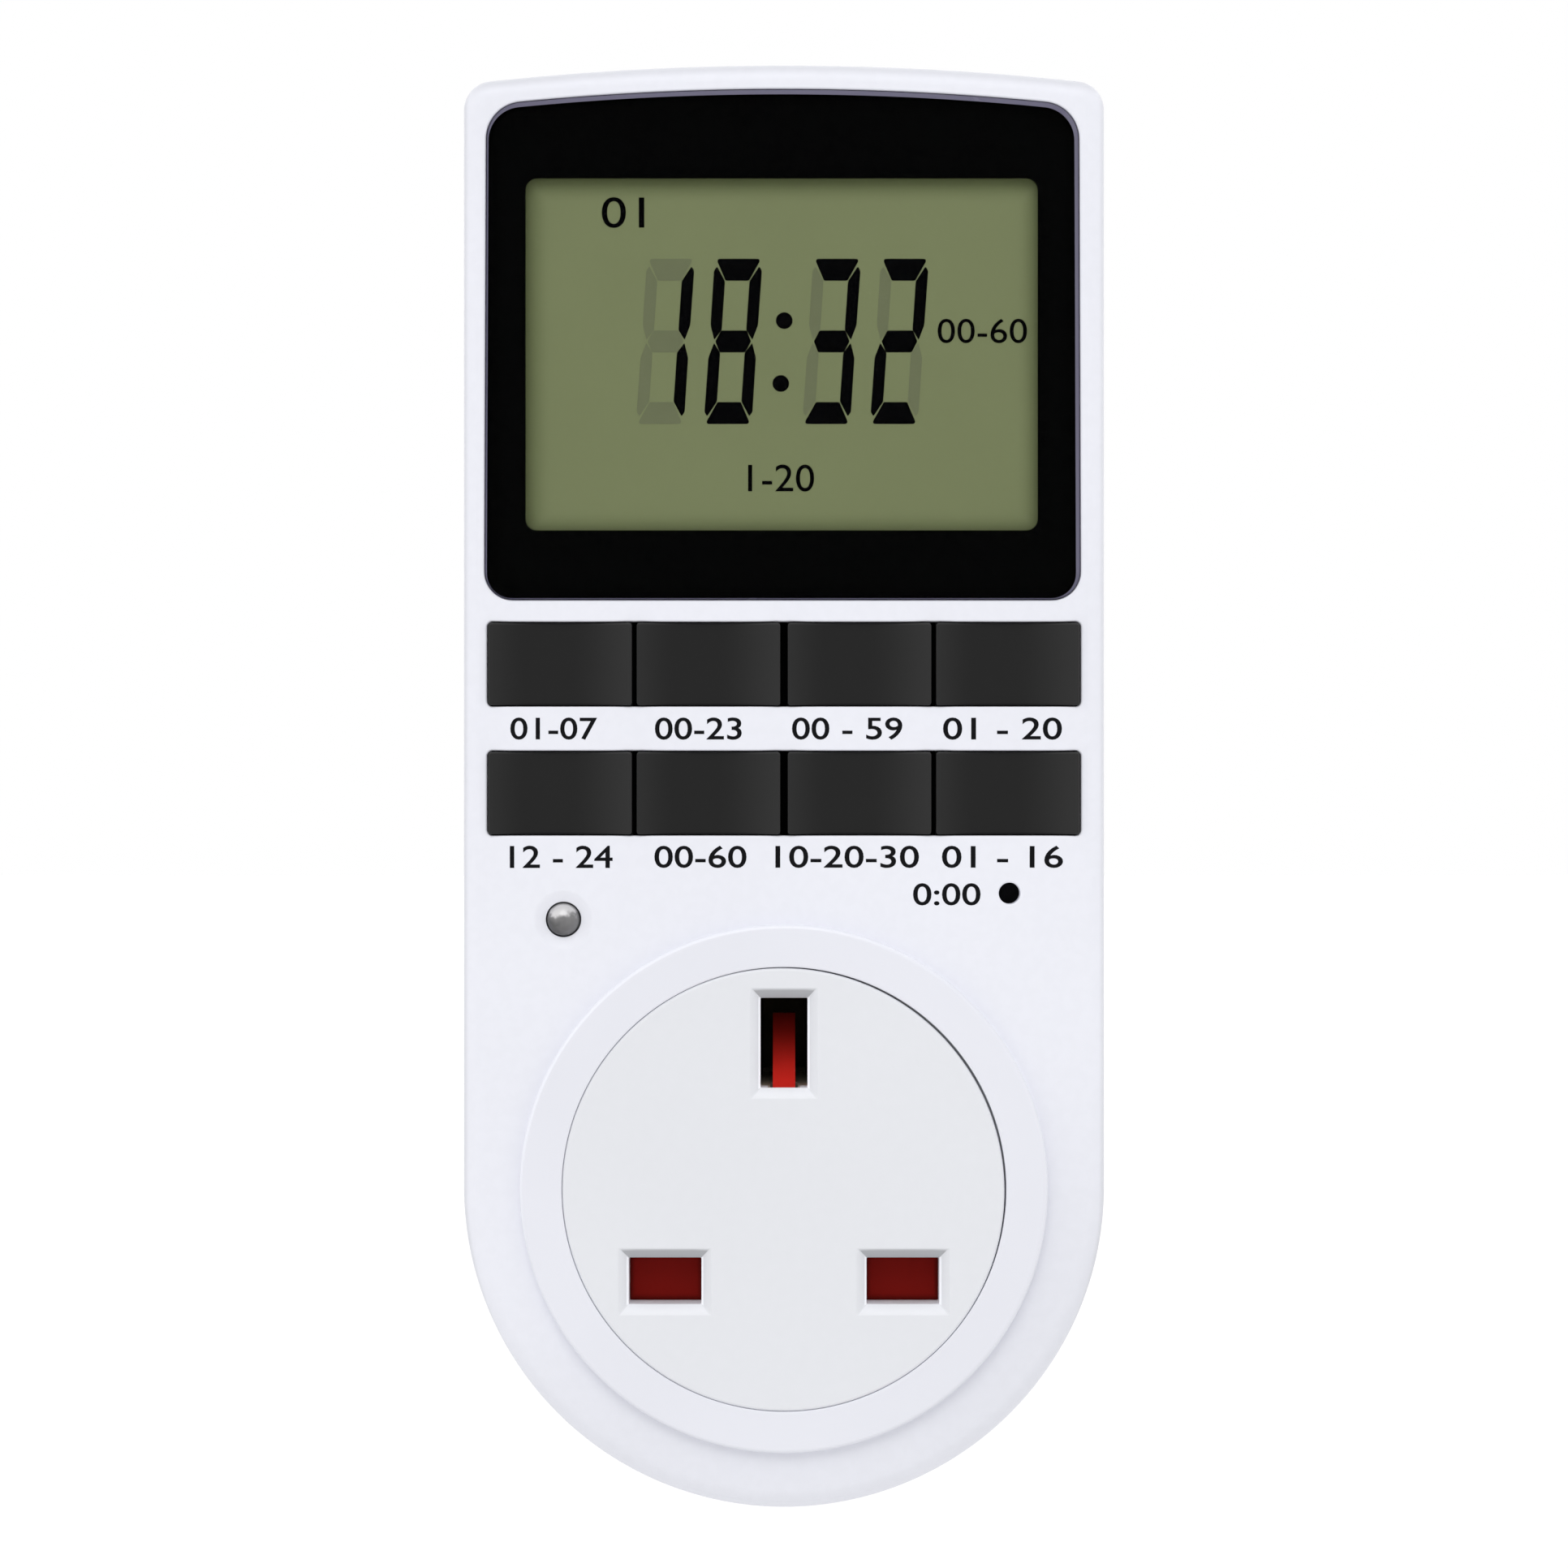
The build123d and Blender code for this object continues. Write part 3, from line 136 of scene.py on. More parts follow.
class DisplaySettings(bpy.types.PropertyGroup):
    lower_corner: length("Lower corners", 2.6 * MM, "Radius of the lower corners of the window")
    upper_corner: length("Upper corners", 3.4 * MM, "Radius of the upper corners of the window")
    taper: length("Taper", 0.16 * MM, "How much nearer each side of the window is at its top")
    bevel: length("Bevel", 0.28 * MM, "Bevel along the front of the window")
    gap: length("Gap", 0.08 * MM, "Gap round the window in its recess")
    view_width: length("View width", 48.0 * MM, "Width of the clear opening")
    view_height: length("View height", 33.0 * MM, "Height of the clear opening")
    view_corner: length("View corner", 1.1 * MM, "Corner radius of the clear opening")
    view_x: length("View middle, across", -0.22 * MM, "Sideways place of the middle of the clear opening")
    view_z: length("View middle, up", 78.0 * MM, "Height of the middle of the clear opening")
    window_shift: length("Window shift", -0.13 * MM, "Sideways place of the middle of the window")
    print_shift: length("Border shift", 0.11 * MM, "How far the printed border lies to the left")
    print_drop: length("Border drop", 0.19 * MM, "How far the printed border lies down")
    digit_width: length("Digit width", 4.5 * MM, "Width of one seven-segment digit")
    digit_height: length("Digit height", 15.5 * MM, "Height of one seven-segment digit")
    upright: length("Upright stroke", 1.1 * MM, "Width of the upright segments")
    level: length("Level stroke", 2.05 * MM, "Width of the level segments")
    reading: StringProperty(name="Reading", description="Four digits on the display", default="1832")


class SoftSettings(bpy.types.PropertyGroup):
    mat_base: length("Mat base", 1.0 * MM, "Thickness of the keypad mat under its domes")
    mat_corner: length("Mat corner", 1.0 * MM, "Corner radius of the keypad mat")
    dome: length("Dome", 2.6 * MM, "Radius of the top of a dome")
    dome_foot: length("Dome foot", 3.4 * MM, "Radius of the foot of a dome")
    dome_skin: length("Dome top thickness", 1.0 * MM, "Thickness of the top of a dome")
    key_travel: length("Key travel", 0.9 * MM, "Travel of a key, which its dome gives way to")
    wire: length("Spring wire", 0.2 * MM, "Radius of the spring's wire")
    turns: FloatProperty(name="Spring turns", description="Turns of the spring", default=9.0, min=1.0)
    shutter_travel: length("Shutter travel", 6.5 * MM, "Travel of the shutter, which the spring gives way to")


class KeySettings(bpy.types.PropertyGroup):
    dish: length("Dish radius", 24.0 * MM, "Radius of the hollow across a key")
    edge: length("Edge round", 0.22 * MM, "Round along the edge of a key")
    corner: length("Corner", 0.3 * MM, "Corner radius of a key")
    flange: length("Flange", 0.9 * MM, "Flange above and below the key")
    flange_thick: length("Flange thickness", 1.0 * MM, "Thickness of the flange")


class OutletSettings(bpy.types.PropertyGroup):
    gap: length("Gap", 0.025 * MM, "Gap round the disc in its ring")
    ease: length("Ease", 0.19 * MM, "How much wider that gap is at the upper right")
    gap_depth: length("Gap depth", 1.9 * MM, "Depth of that gap, down to a shoulder of the disc")
    flange_thick: length("Flange thickness", 0.8 * MM, "Thickness of the flange behind the ring")
    edge: length("Edge round", 0.3 * MM, "Round along the edge of the disc")
    chamfer: length("Slot chamfer", 0.9 * MM, "Chamfer round the slots")
    line_width: length("Line slot width", 6.8 * MM, "Width of the two lower slots")
    line_height: length("Line slot height", 4.35 * MM, "Height of the two lower slots")
    earth_width: length("Earth slot width", 4.4 * MM, "Width of the upper slot")
    earth_height: length("Earth slot height", 8.4 * MM, "Height of the upper slot")


class FinishSettings(bpy.types.PropertyGroup):
    case: colour("Case", (0.82, 0.828, 0.89), "Colour of the case")
    disc: colour("Disc", (0.765, 0.776, 0.812), "Colour of the socket disc")
    screen: colour("Display", (0.175, 0.202, 0.0975), "Colour of the display glass")
    ghost: colour("Resting segments", (0.138, 0.155, 0.086), "Colour of the segments that are off")
    ink: colour("Ink", (0.004, 0.004, 0.005), "Colour of the marks and the lit segments")
    key: colour("Keys", (0.0085, 0.0085, 0.0085), "Colour of the keys")
    # the bevel's purple-grey is a painted reflection on the edge of the black window
    bevel: colour("Window bevel", (0.095, 0.088, 0.145), "Colour of the edge of the window")
    shutter: colour("Shutter", (0.53, 0.017, 0.011), "Colour of the shutter")
    metal: colour("Brass", (0.72, 0.53, 0.25), "Colour of the pins and contacts")
    grain: length("Grain", 0.006 * MM, "Depth of the moulded texture")


class StageSettings(bpy.types.PropertyGroup):
    distance: length("Camera distance", 400.0 * MM, "Camera to the front face")
    height: length("Camera height", 37.75 * MM, "Height of the camera over the socket axis")
    field: length("Field", 146.4 * MM, "Width of the view at the front face")
    floor: length("Floor", -100.0 * MM, "Height of the floor")
    horizon: FloatProperty(name="Horizon", description="Soft light from the level", default=0.70, min=0.0)
    zenith: FloatProperty(name="Zenith", description="Soft light from straight above", default=0.36, min=0.0)
    key: FloatProperty(name="Key lamp", description="Light from the front and above", default=0.27, min=0.0)
    side: FloatProperty(name="Side lamps", description="Light from either side", default=0.225, min=0.0)
    rear: FloatProperty(name="Rear lamp", description="Light from behind", default=0.34, min=0.0)
    floor_lift: FloatProperty(name="Floor lift", description="Added white of the floor", default=0.50, min=0.0)
    floor_glow: FloatProperty(name="Floor glow", description="Light that the floor adds from below", default=0.35,
                              min=0.0)


# ---- shapes ----
class Loop:
    """A closed outline in the front plane: its points (x, z) and the outward direction at each of them."""

    def __init__(self, points, outward):
        self.points, self.outward = points, outward

    def at(self, outset=0.0):
        """Every point moved along its outward direction by outset."""
        return self.points + outset * self.outward


def arc(x, z, radius, start, end, steps):
    """Points at (x + radius cos a, z + radius sin a), with outward (cos a, sin a), for a from start up to end."""
    a = start + (end - start) * np.arange(steps) / steps
    out = np.column_stack([np.cos(a), np.sin(a)])
    return np.array([x, z]) + radius * out, out


def run(start, end, outward, steps):
    """Points at start + t (end - start) for t from 0 up to 1, all with the same outward direction."""
    t = (np.arange(steps) / steps)[:, None]
    return np.array(start) + t * (np.array(end) - np.array(start)), np.tile(np.array(outward, float), (steps, 1))


def loop_of(*parts):
    """One loop from parts that follow each other, each a pair of points and outward directions."""
    return Loop(np.vstack([p for p, _ in parts]), np.vstack([n for _, n in parts]))


def circle(x, z, radius, steps=96):
    """Circle about (x, z), from its right end and turning from x towards z."""
    return loop_of(arc(x, z, radius, 0.0, 2 * math.pi, steps))


def rounded(x, z, width, height, radius, steps=6, along=8):
    """Rectangle of the given width and height about (x, z), its corners turned by quarter circles."""
    a, b = width / 2 - radius, height / 2 - radius
    h = math.pi / 2
    return loop_of(
        run((x + width / 2, z - b), (x + width / 2, z + b), (1, 0), along),
        arc(x + a, z + b, radius, 0, h, steps),
        run((x + a, z + height / 2), (x - a, z + height / 2), (0, 1), along),
        arc(x - a, z + b, radius, h, 2 * h, steps),
        run((x - width / 2, z + b), (x - width / 2, z - b), (-1, 0), along),
        arc(x - a, z - b, radius, 2 * h, 3 * h, steps),
        run((x - a, z - height / 2), (x + a, z - height / 2), (0, -1), along),
        arc(x + a, z - b, radius, 3 * h, 4 * h, steps),
    )


def arched(half, crown, crown_radius, corner, low=None, low_corner=0.0, taper=0.0):
    """Upright outline under a shallow arch.

    The arch is the part of a circle of crown_radius whose top is at crown. A corner circle touches both the side
    x = half and the arch, so its middle is (half - corner, arch middle + sqrt((crown_radius - corner)^2
    - (half - corner)^2)). Below it is closed by half a circle about the origin, or at the height low by a level
    edge with corners of low_corner. The sides lean in by taper over the height.
    """
    middle = crown - crown_radius
    cx = half - corner
    cz = middle + math.sqrt((crown_radius - corner) ** 2 - cx**2)
    turn = math.atan2(cz - middle, cx)
    parts = [
        arc(cx, cz, corner, 0, turn, 14),
        arc(0, middle, crown_radius, turn, math.pi - turn, 64),
        arc(-cx, cz, corner, math.pi - turn, math.pi, 14),
    ]
    if low is None:
        parts += [run((-half, cz), (-half, 0), (-1, 0), 36), arc(0, 0, half, math.pi, 2 * math.pi, 144),
                  run((half, 0), (half, cz), (1, 0), 36)]
    else:
        a, z = half - low_corner, low + low_corner
        parts += [run((-half, cz), (-half, z), (-1, 0), 20),
                  arc(-a, z, low_corner, math.pi, 1.5 * math.pi, 12),
                  run((-a, low), (a, low), (0, -1), 24),
                  arc(a, z, low_corner, 1.5 * math.pi, 2 * math.pi, 12),
                  run((half, z), (half, cz), (1, 0), 20)]
    loop = loop_of(*parts)
    if taper:
        rise = np.clip((loop.points[:, 1] - low) / (cz - low), 0, 1)
        loop.points[:, 0] *= 1 - taper / half * rise
    return loop


def rings(loop, *rows):
    """The loop carried along a profile of (outset, depth) rows: ring i is the loop at outset and depth i."""
    profile = np.vstack(rows).astype(float)
    flat = loop.points[None] + profile[:, 0, None, None] * loop.outward[None]
    depth = np.broadcast_to(profile[:, 1, None], flat.shape[:2])
    return np.dstack([flat[..., 0], depth, flat[..., 1]])


def stack(*rows):
    """Rings from pairs of (points, depth) that all have the same number of points."""
    return np.stack([np.column_stack([p[:, 0], np.full(len(p), y), p[:, 1]]) for p, y in rows])


def bend(outset, depth, radius, start, end, steps=8):
    """Profile rows on an arc about (outset, depth): (outset + radius cos a, depth + radius sin a), in degrees."""
    a = np.radians(np.linspace(start, end, steps + 1))
    return np.column_stack([outset + radius * np.cos(a), depth + radius * np.sin(a)])


def lathe(x, z, profile, steps=64):
    """A profile of (radius, depth) rows turned about the line through (x, z) along Y."""
    return rings(Loop(np.tile([float(x), float(z)], (steps, 1)), circle(0, 0, 1, steps).outward), profile)


class Shell:
    """Gathers bands and flat faces, which together close one skin."""

    def __init__(self):
        self.points, self.faces, self.finish, self.count = [], [], [], 0

    def add(self, points, faces, finish):
        self.points.append(points)
        self.faces += (faces + self.count).tolist()
        self.finish += np.broadcast_to(finish, len(faces)).tolist()
        self.count += len(points)

    def band(self, grid, finish=0):
        """Four-sided faces between neighbouring rows of grid, whose last column meets its first."""
        rows, around = grid.shape[:2]
        i, j = np.arange(rows - 1)[:, None] * around, np.arange(around)[None]
        k = (j + 1) % around
        faces = np.stack([i + j, i + k, i + around + k, i + around + j], axis=-1).reshape(-1, 4)
        self.add(grid.reshape(-1, 3), faces, np.repeat(np.broadcast_to(finish, rows - 1), around))

    def wall(self, points, first, last, finish=0):
        """A straight wall along a loop's points, between two depths."""
        self.band(stack((points, first), (points, last)), finish)

    def face(self, loops, depth, finish=0, extra=None):
        """Triangles between the loops, at the given depth or at depth(x).

        A constrained Delaunay triangulation of the loops' points and of extra ones. A triangle stays where a line
        from its middle along +x crosses the loops an odd number of times.
        """
        sizes = [len(loop) for loop in loops]
        starts = np.cumsum([0] + sizes[:-1])
        edges = np.vstack([np.column_stack([s + np.arange(n), s + (np.arange(n) + 1) % n])
                           for s, n in zip(starts, sizes)])
        flat = np.vstack(loops + ([] if extra is None else [extra]))
        scale = 1000.0
        points, _, faces, _, _, _ = delaunay_2d_cdt((flat * scale).tolist(), edges.tolist(), [], 1, 1e-7)
        points = np.array([tuple(p) for p in points]) / scale
        faces = np.array(faces)
        middle = points[faces].mean(axis=1)
        a, b = flat[edges[:, 0]], flat[edges[:, 1]]
        z = middle[:, 1, None]
        spans = (a[None, :, 1] > z) != (b[None, :, 1] > z)
        rise = np.where(b[:, 1] == a[:, 1], 1.0, b[:, 1] - a[:, 1])
        x = a[None, :, 0] + (z - a[None, :, 1]) * ((b[:, 0] - a[:, 0]) / rise)[None]
        faces = faces[(spans & (x > middle[:, 0, None])).sum(axis=1) % 2 == 1]
        y = depth(points[:, 0]) if callable(depth) else np.full(len(points), depth)
        self.add(np.column_stack([points[:, 0], y, points[:, 1]]), faces, finish)

    def block(self, loop, front, back, finish=0):
        """The loop's plate from depth front to depth back."""
        self.wall(loop, front, back, finish)
        self.face([loop], front, finish)
        self.face([loop], back, finish)

    def mesh(self, name, crease=35.0):
        """One welded mesh with its faces outwards, smooth where neighbouring faces turn by less than crease."""
        mesh = bpy.data.meshes.new(name)
        mesh.from_pydata(np.vstack(self.points).tolist(), [], self.faces)
        mesh.polygons.foreach_set("material_index", self.finish)
        weld(mesh, crease)
        return mesh


def weld(mesh, crease=35.0):
    """Merges doubled points, turns the faces outwards and marks the sharp edges."""
    work = bmesh.new()
    work.from_mesh(mesh)
    bmesh.ops.remove_doubles(work, verts=work.verts, dist=6e-7)
    bmesh.ops.dissolve_degenerate(work, edges=work.edges, dist=1e-8)
    bmesh.ops.recalc_face_normals(work, faces=work.faces)
    work.to_mesh(mesh)
    work.free()
    mesh.shade_smooth()
    mesh.set_sharp_from_angle(angle=math.radians(crease))


def piece(name, mesh, body, keys, stands_for=()):
    """Puts a mesh into the scene as a piece that rides on a body, with the finishes that keys names."""
    ob = bpy.data.objects.new(name, mesh)
    bpy.context.scene.collection.objects.link(ob)
    for key in keys.split():
        mesh.materials.append(finish_of(key))
    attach(ob, body)
    if stands_for:
        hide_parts(*stands_for)
    return ob


def carve(mesh, cutter):
    """The mesh less the cutter's volume, by an exact Boolean that is applied at once."""
    body, tool = (bpy.data.objects.new(m.name, m) for m in (mesh, cutter))
    for ob in (body, tool):
        bpy.context.scene.collection.objects.link(ob)
    cut = body.modifiers.new("cut", "BOOLEAN")
    cut.operation, cut.solver, cut.object = "DIFFERENCE", "EXACT", tool
    bpy.context.view_layer.update()
    result = bpy.data.meshes.new_from_object(body.evaluated_get(bpy.context.evaluated_depsgraph_get()))
    result.name = mesh.name
    for ob in (body, tool):
        bpy.data.objects.remove(ob)
    weld(result)
    return result


def joined(mesh, other):
    """The mesh with the faces of the other one added to it."""
    work = bmesh.new()
    work.from_mesh(mesh)
    work.from_mesh(other)
    work.to_mesh(mesh)
    work.free()
    mesh.shade_smooth()
    mesh.set_sharp_from_angle(angle=math.radians(35))
    return mesh


# ---- materials ----
class Signal:
    """A node's output. Arithmetic on it adds the Math nodes that work the value out."""

    def __init__(self, finish, socket):
        self.finish, self.socket = finish, socket

    def maths(self, operation, *values):
        return self.finish.node("ShaderNodeMath", {"operation": operation}, dict(enumerate(values)))

    def __add__(self, other):
        return self.maths("ADD", self, other)

    def __sub__(self, other):
        return self.maths("SUBTRACT", self, other)

    def __rsub__(self, other):
        return self.maths("SUBTRACT", other, self)

    def __mul__(self, other):
        return self.maths("MULTIPLY", self, other)

    def __truediv__(self, other):
        return self.maths("DIVIDE", self, other)

    def __pow__(self, other):
        return self.maths("POWER", self, other)

    __radd__, __rmul__ = __add__, __mul__

    def least(self, other):
        return self.maths("MINIMUM", self, other)

    def most(self, other):
        return self.maths("MAXIMUM", self, other)

    def size(self):
        return self.maths("ABSOLUTE", self)

    def between(self, low, high):
        """0 below low, 1 above high, eased in between."""
        return self.finish.node("ShaderNodeMapRange", {"interpolation_type": "SMOOTHSTEP", "clamp": True},
                                {"Value": self, "From Min": low, "From Max": high})


class Finish:
    """A node material under construction."""

    def __init__(self, name, tree=None):
        self.material = None
        if tree is None:
            self.material = bpy.data.materials.new(name)
            self.material.use_nodes = True
            tree = self.material.node_tree
        self.tree = tree
        tree.nodes.clear()

    def node(self, kind, settings=None, inputs=None, output=0):
        """Adds a node: its settings first, then its inputs by name or number, and returns one of its outputs."""
        node = self.tree.nodes.new(kind)
        for key, value in (settings or {}).items():
            setattr(node, key, value)
        for key, value in (inputs or {}).items():
            socket = node.inputs[key]
            if isinstance(value, Signal):
                self.tree.links.new(value.socket, socket)
            elif hasattr(value, "__len__") and len(value) == 3 and len(socket.default_value) == 4:
                socket.default_value = (*value, 1.0)
            else:
                socket.default_value = value
        return Signal(self, node.outputs[output])

    def where(self):
        """Object coordinates."""
        return self.node("ShaderNodeTexCoord", output="Object")

    def parts(self, vector):
        """The x, y and z of a vector."""
        split = self.node("ShaderNodeSeparateXYZ", inputs={0: vector}).socket.node
        return tuple(Signal(self, out) for out in split.outputs)

    def place(self):
        """Object coordinates, and their parts."""
        where = self.where()
        return (where, *self.parts(where))

    def place_and_facing(self):
        """Object coordinates, their parts, and how far the normal points along x and z."""
        across, _, rise = self.parts(self.node("ShaderNodeTexCoord", output="Normal"))
        return (*self.place(), across, rise)

    def noise(self, where, scale, detail=2.0, rough=0.5):
        """Noise from 0 to 1, of which one metre holds scale waves."""
        return self.node("ShaderNodeTexNoise", {"noise_dimensions": "3D"},
                         {"Vector": where, "Scale": scale, "Detail": detail, "Roughness": rough})

    def mottle(self, where):
        """The noises of moulded plastic: its slow drift of tone, its small flecks and the pits of its grain."""
        return self.noise(where, 32.0, 3.0), self.noise(where, 900.0, 2.0), self.noise(where, 1900.0, 3.0, 0.6)

    def plastic(self, base, rough, specular, mottle, grain):
        """Moulded plastic: its gloss follows the drift and the flecks, and its grain is as deep as given."""
        drift, fleck, pits = mottle
        gloss = rough + (drift - 0.5) * 0.10 + (fleck - 0.5) * 0.06
        return self.surface(base=base, rough=gloss, specular=specular, normal=self.bump(pits, grain))

    def blend(self, factor, first, second):
        """Colour that goes from first to second as factor goes from 0 to 1."""
        mix = self.tree.nodes.new("ShaderNodeMix")
        mix.data_type = "RGBA"
        self.tree.links.new(factor.socket, mix.inputs[0])
        for socket, value in ((mix.inputs[6], first), (mix.inputs[7], second)):
            if isinstance(value, Signal):
                self.tree.links.new(value.socket, socket)
            else:
                socket.default_value = (*value, 1.0)
        return Signal(self, mix.outputs[2])

    def bump(self, height, distance):
        """The normal over a surface that height lifts by up to the distance."""
        return self.node("ShaderNodeBump", inputs={"Height": height, "Distance": distance, "Strength": 1.0})

    def close(self, shader, kind="ShaderNodeOutputMaterial"):
        """Joins the shader to the output, and returns the material."""
        out = self.tree.nodes.new(kind)
        self.tree.links.new(shader.socket, out.inputs["Surface"])
        return self.material

    def surface(self, **inputs):
        """The finished material with the general surface shader, whose inputs have short names."""
        return self.close(self.principled(**inputs))

    def principled(self, **inputs):
        """The general surface shader, with its inputs by short names."""
        names = {"base": "Base Color", "rough": "Roughness", "metal": "Metallic", "normal": "Normal",
                 "specular": "Specular IOR Level"}
        return self.node("ShaderNodeBsdfPrincipled", None, {names[k]: v for k, v in inputs.items()})


def shade(tone, factor):
    """The tone times the factor."""
    return tuple(c * factor for c in tone)


def moulded(name, tone, grain, rough, specular, spread=0.03):
    """Moulded plastic: a fine spark-eroded grain, slow drifts of tone and slight gloss changes."""
    f = Finish(name)
    drift, fleck, pits = f.mottle(f.where())
    base = f.blend(drift.between(0.3, 0.7) * 0.7 + fleck.between(0.35, 0.65) * 0.3, shade(tone, 1 - spread),
                   shade(tone, 1 + spread))
    return f.plastic(base, rough, specular, (drift, fleck, pits), grain)


def case_plastic_painted_shade(name, tone, grain, half, crown, front):
    """Moulded plastic of the case, a touch greyer on the front round of its walls and crown and towards its foot.

    These greyer zones are painted shade. The walls are where the normal's part along x times x / half passes 0.65,
    the crown where the normal's rise passes 0.3 near z = crown, both within 2.3 mm of the front plane, beyond which
    the painted shade fades.
    """
    f = Finish(name)
    where, x, y, z, across, rise = f.place_and_facing()
    near = 1 - y.between(front + 2.3 * MM, front + 5.0 * MM)
    # masks of the painted shade on the walls, the crown and the foot
    wall = near * (across * x / half).between(0.65, 0.95)
    top = near * rise.between(0.25, 0.90) * z.between(crown - 7 * MM, crown - 4 * MM)
    under = (0 - rise).between(0.2, 0.8)
    foot = (1 - (z - x * 0.35).between(-26 * MM, 6 * MM)) * (1 - under)
    drift, fleck, pits = f.mottle(where)
    light = 0.86 + drift.between(0.3, 0.7) * 0.09 + fleck.between(0.35, 0.65) * 0.05
    # painted shade: walls, crown and foot darkened where less light would reach them
    light = light - wall * 0.52 - top * 0.42 - foot * 0.26
    base = f.blend(light.most(0.0), shade(tone, 0.75), shade(tone, 1.02))
    return f.plastic(base, 0.46, 0.4, (drift, fleck, pits), grain)


def ring_plastic_painted_highlight(name, tone, grain):
    """Moulded plastic of the raised ring, paler on its outer round where that faces up and to the left.

    The round is where the normal's part along (-0.5, 0.87) passes 0.15 more than 22 mm from the axis; its paleness is
    a painted highlight.
    """
    f = Finish(name)
    where, x, _, z, across, rise = f.place_and_facing()
    outer = ((x ** 2 + z ** 2) ** 0.5).between(22.0 * MM, 23.0 * MM)
    edge = outer * (rise * 0.87 - across * 0.5).between(0.15, 0.5)
    drift, _, pits = f.mottle(where)
    # painted highlight on the outer round, where it faces up and to the left
    light = 0.30 + drift.between(0.3, 0.7) * 0.20 + edge * 0.6
    base = f.blend(light.least(1.0), shade(tone, 0.94), shade(tone, 1.12))
    return f.surface(base=base, rough=0.42 + (drift - 0.5) * 0.10, specular=0.4,
                     normal=f.bump(pits, grain))


def disc_plastic_painted_light(name, tone, grain, front):
    """Moulded plastic of the socket disc, greyer on the upper chamfers of its slots and paler on their other rims.

    The greyer upper chamfers are painted shade, the paler lower chamfers and side rims painted highlights. The upper
    chamfers are where the normal points down by more than 0.45, the lower ones where it points up by as much, both
    within 19.5 mm of the axis. Depths are taken from the front of the disc.
    """
    f = Finish(name)
    where, x, y, z, across, rise = f.place_and_facing()
    depth = y - front
    within = 1 - ((x ** 2 + z ** 2) ** 0.5).between(19.5 * MM, 20.0 * MM)
    # painted shade on the upper chamfers
    upper = (0 - rise).between(0.45, 0.65) * (0.35 + depth.between(0.05 * MM, 0.45 * MM) * 0.65)
    # painted highlight on the side rims of the slots
    lip_highlight = across.size().between(0.5, 0.7) * depth.between(0.70 * MM, 0.84 * MM)
    drift, fleck, pits = f.mottle(where)
    light = 0.50 + (drift - 0.5) * 0.06 + (fleck - 0.5) * 0.03
    # painted highlight on the lower chamfers and side rims, painted shade on the upper chamfers
    light = light + within * (rise.between(0.45, 0.65) * 0.13 + lip_highlight * 0.45 - upper)
    base = f.blend(light.most(0.0), shade(tone, 0.58), shade(tone, 1.42))
    return f.plastic(base, 0.40, 0.4, (drift, fleck, pits), grain)


def shutter_red_painted_shade(name, tone, grain):
    """Red shutter: its ramp, |x| < 1.6 mm, pales from its tip down to its nose; the blades are deeper red.

    The deeper red of the blades and their darkening towards the edges of the two line slots are painted shade, as is
    the darker tip of the ramp; the slots' half sizes are taken from their middles.
    """
    f = Finish(name)
    where, x, _, z = f.place()
    ramp = 1 - x.size().between(1.5 * MM, 1.9 * MM)
    down = 1 - (z - 10.0 * MM) / (5.8 * MM)
    pits = f.noise(where, 1900.0, 2.0)
    slot_x, slot_z = PINS["live_pin"][:2]
    side = 3.4 * MM - (x.size() - slot_x).size()
    level = 2.2 * MM - (z - slot_z).size()
    middle = side.least(level * 0.8).between(-0.05 * MM, 0.55 * MM)
    # painted shade: blades darker than the ramp, and darker still near the slot edges
    blade = f.blend(middle * (0.92 + pits * 0.16), shade(tone, 0.16), shade(tone, 0.37))
    # painted shade on the ramp, deepest at its tip
    ramp_painted_shade = f.blend(down.most(0.0).least(1.0), shade(tone, 0.22), tone)
    base = f.blend(ramp, blade, ramp_painted_shade)
    return f.surface(base=base, rough=0.5 + pits * 0.1, specular=0.04, normal=f.bump(pits, grain))


def brushed(name, tone, rough):
    """Drawn or stamped metal: long fine marks along Y, dulled a little in patches."""
    f = Finish(name)
    where = f.where()
    along = f.node("ShaderNodeVectorMath", {"operation": "MULTIPLY"}, {0: where, 1: (2600.0, 260.0, 2600.0)})
    marks = f.noise(along, 1.0, 3.0, 0.6)
    tarnish = f.noise(where, 420.0, 5.0, 0.65)
    base = f.blend(tarnish.between(0.3, 0.8) * 0.6 + marks * 0.4, tone, shade(tone, 0.82))
    gloss = rough + (marks - 0.5) * 0.18 + tarnish.between(0.4, 0.8) * 0.08
    return f.surface(base=base, rough=gloss, metal=1.0, normal=f.bump(marks, 0.004 * MM))


def rubber(name, tone, rough, specular):
    """Soft-touch or rubber surface: matt, with a faint cloud of lighter dust."""
    f = Finish(name)
    where = f.where()
    cloud = f.noise(where, 120.0, 4.0, 0.55)
    pits = f.noise(where, 2400.0, 2.0)
    base = f.blend(cloud.between(0.3, 0.8), shade(tone, 0.92), shade(tone, 1.12))
    return f.surface(base=base, rough=rough + (cloud - 0.5) * 0.12, specular=specular,
                     normal=f.bump(pits, 0.004 * MM))


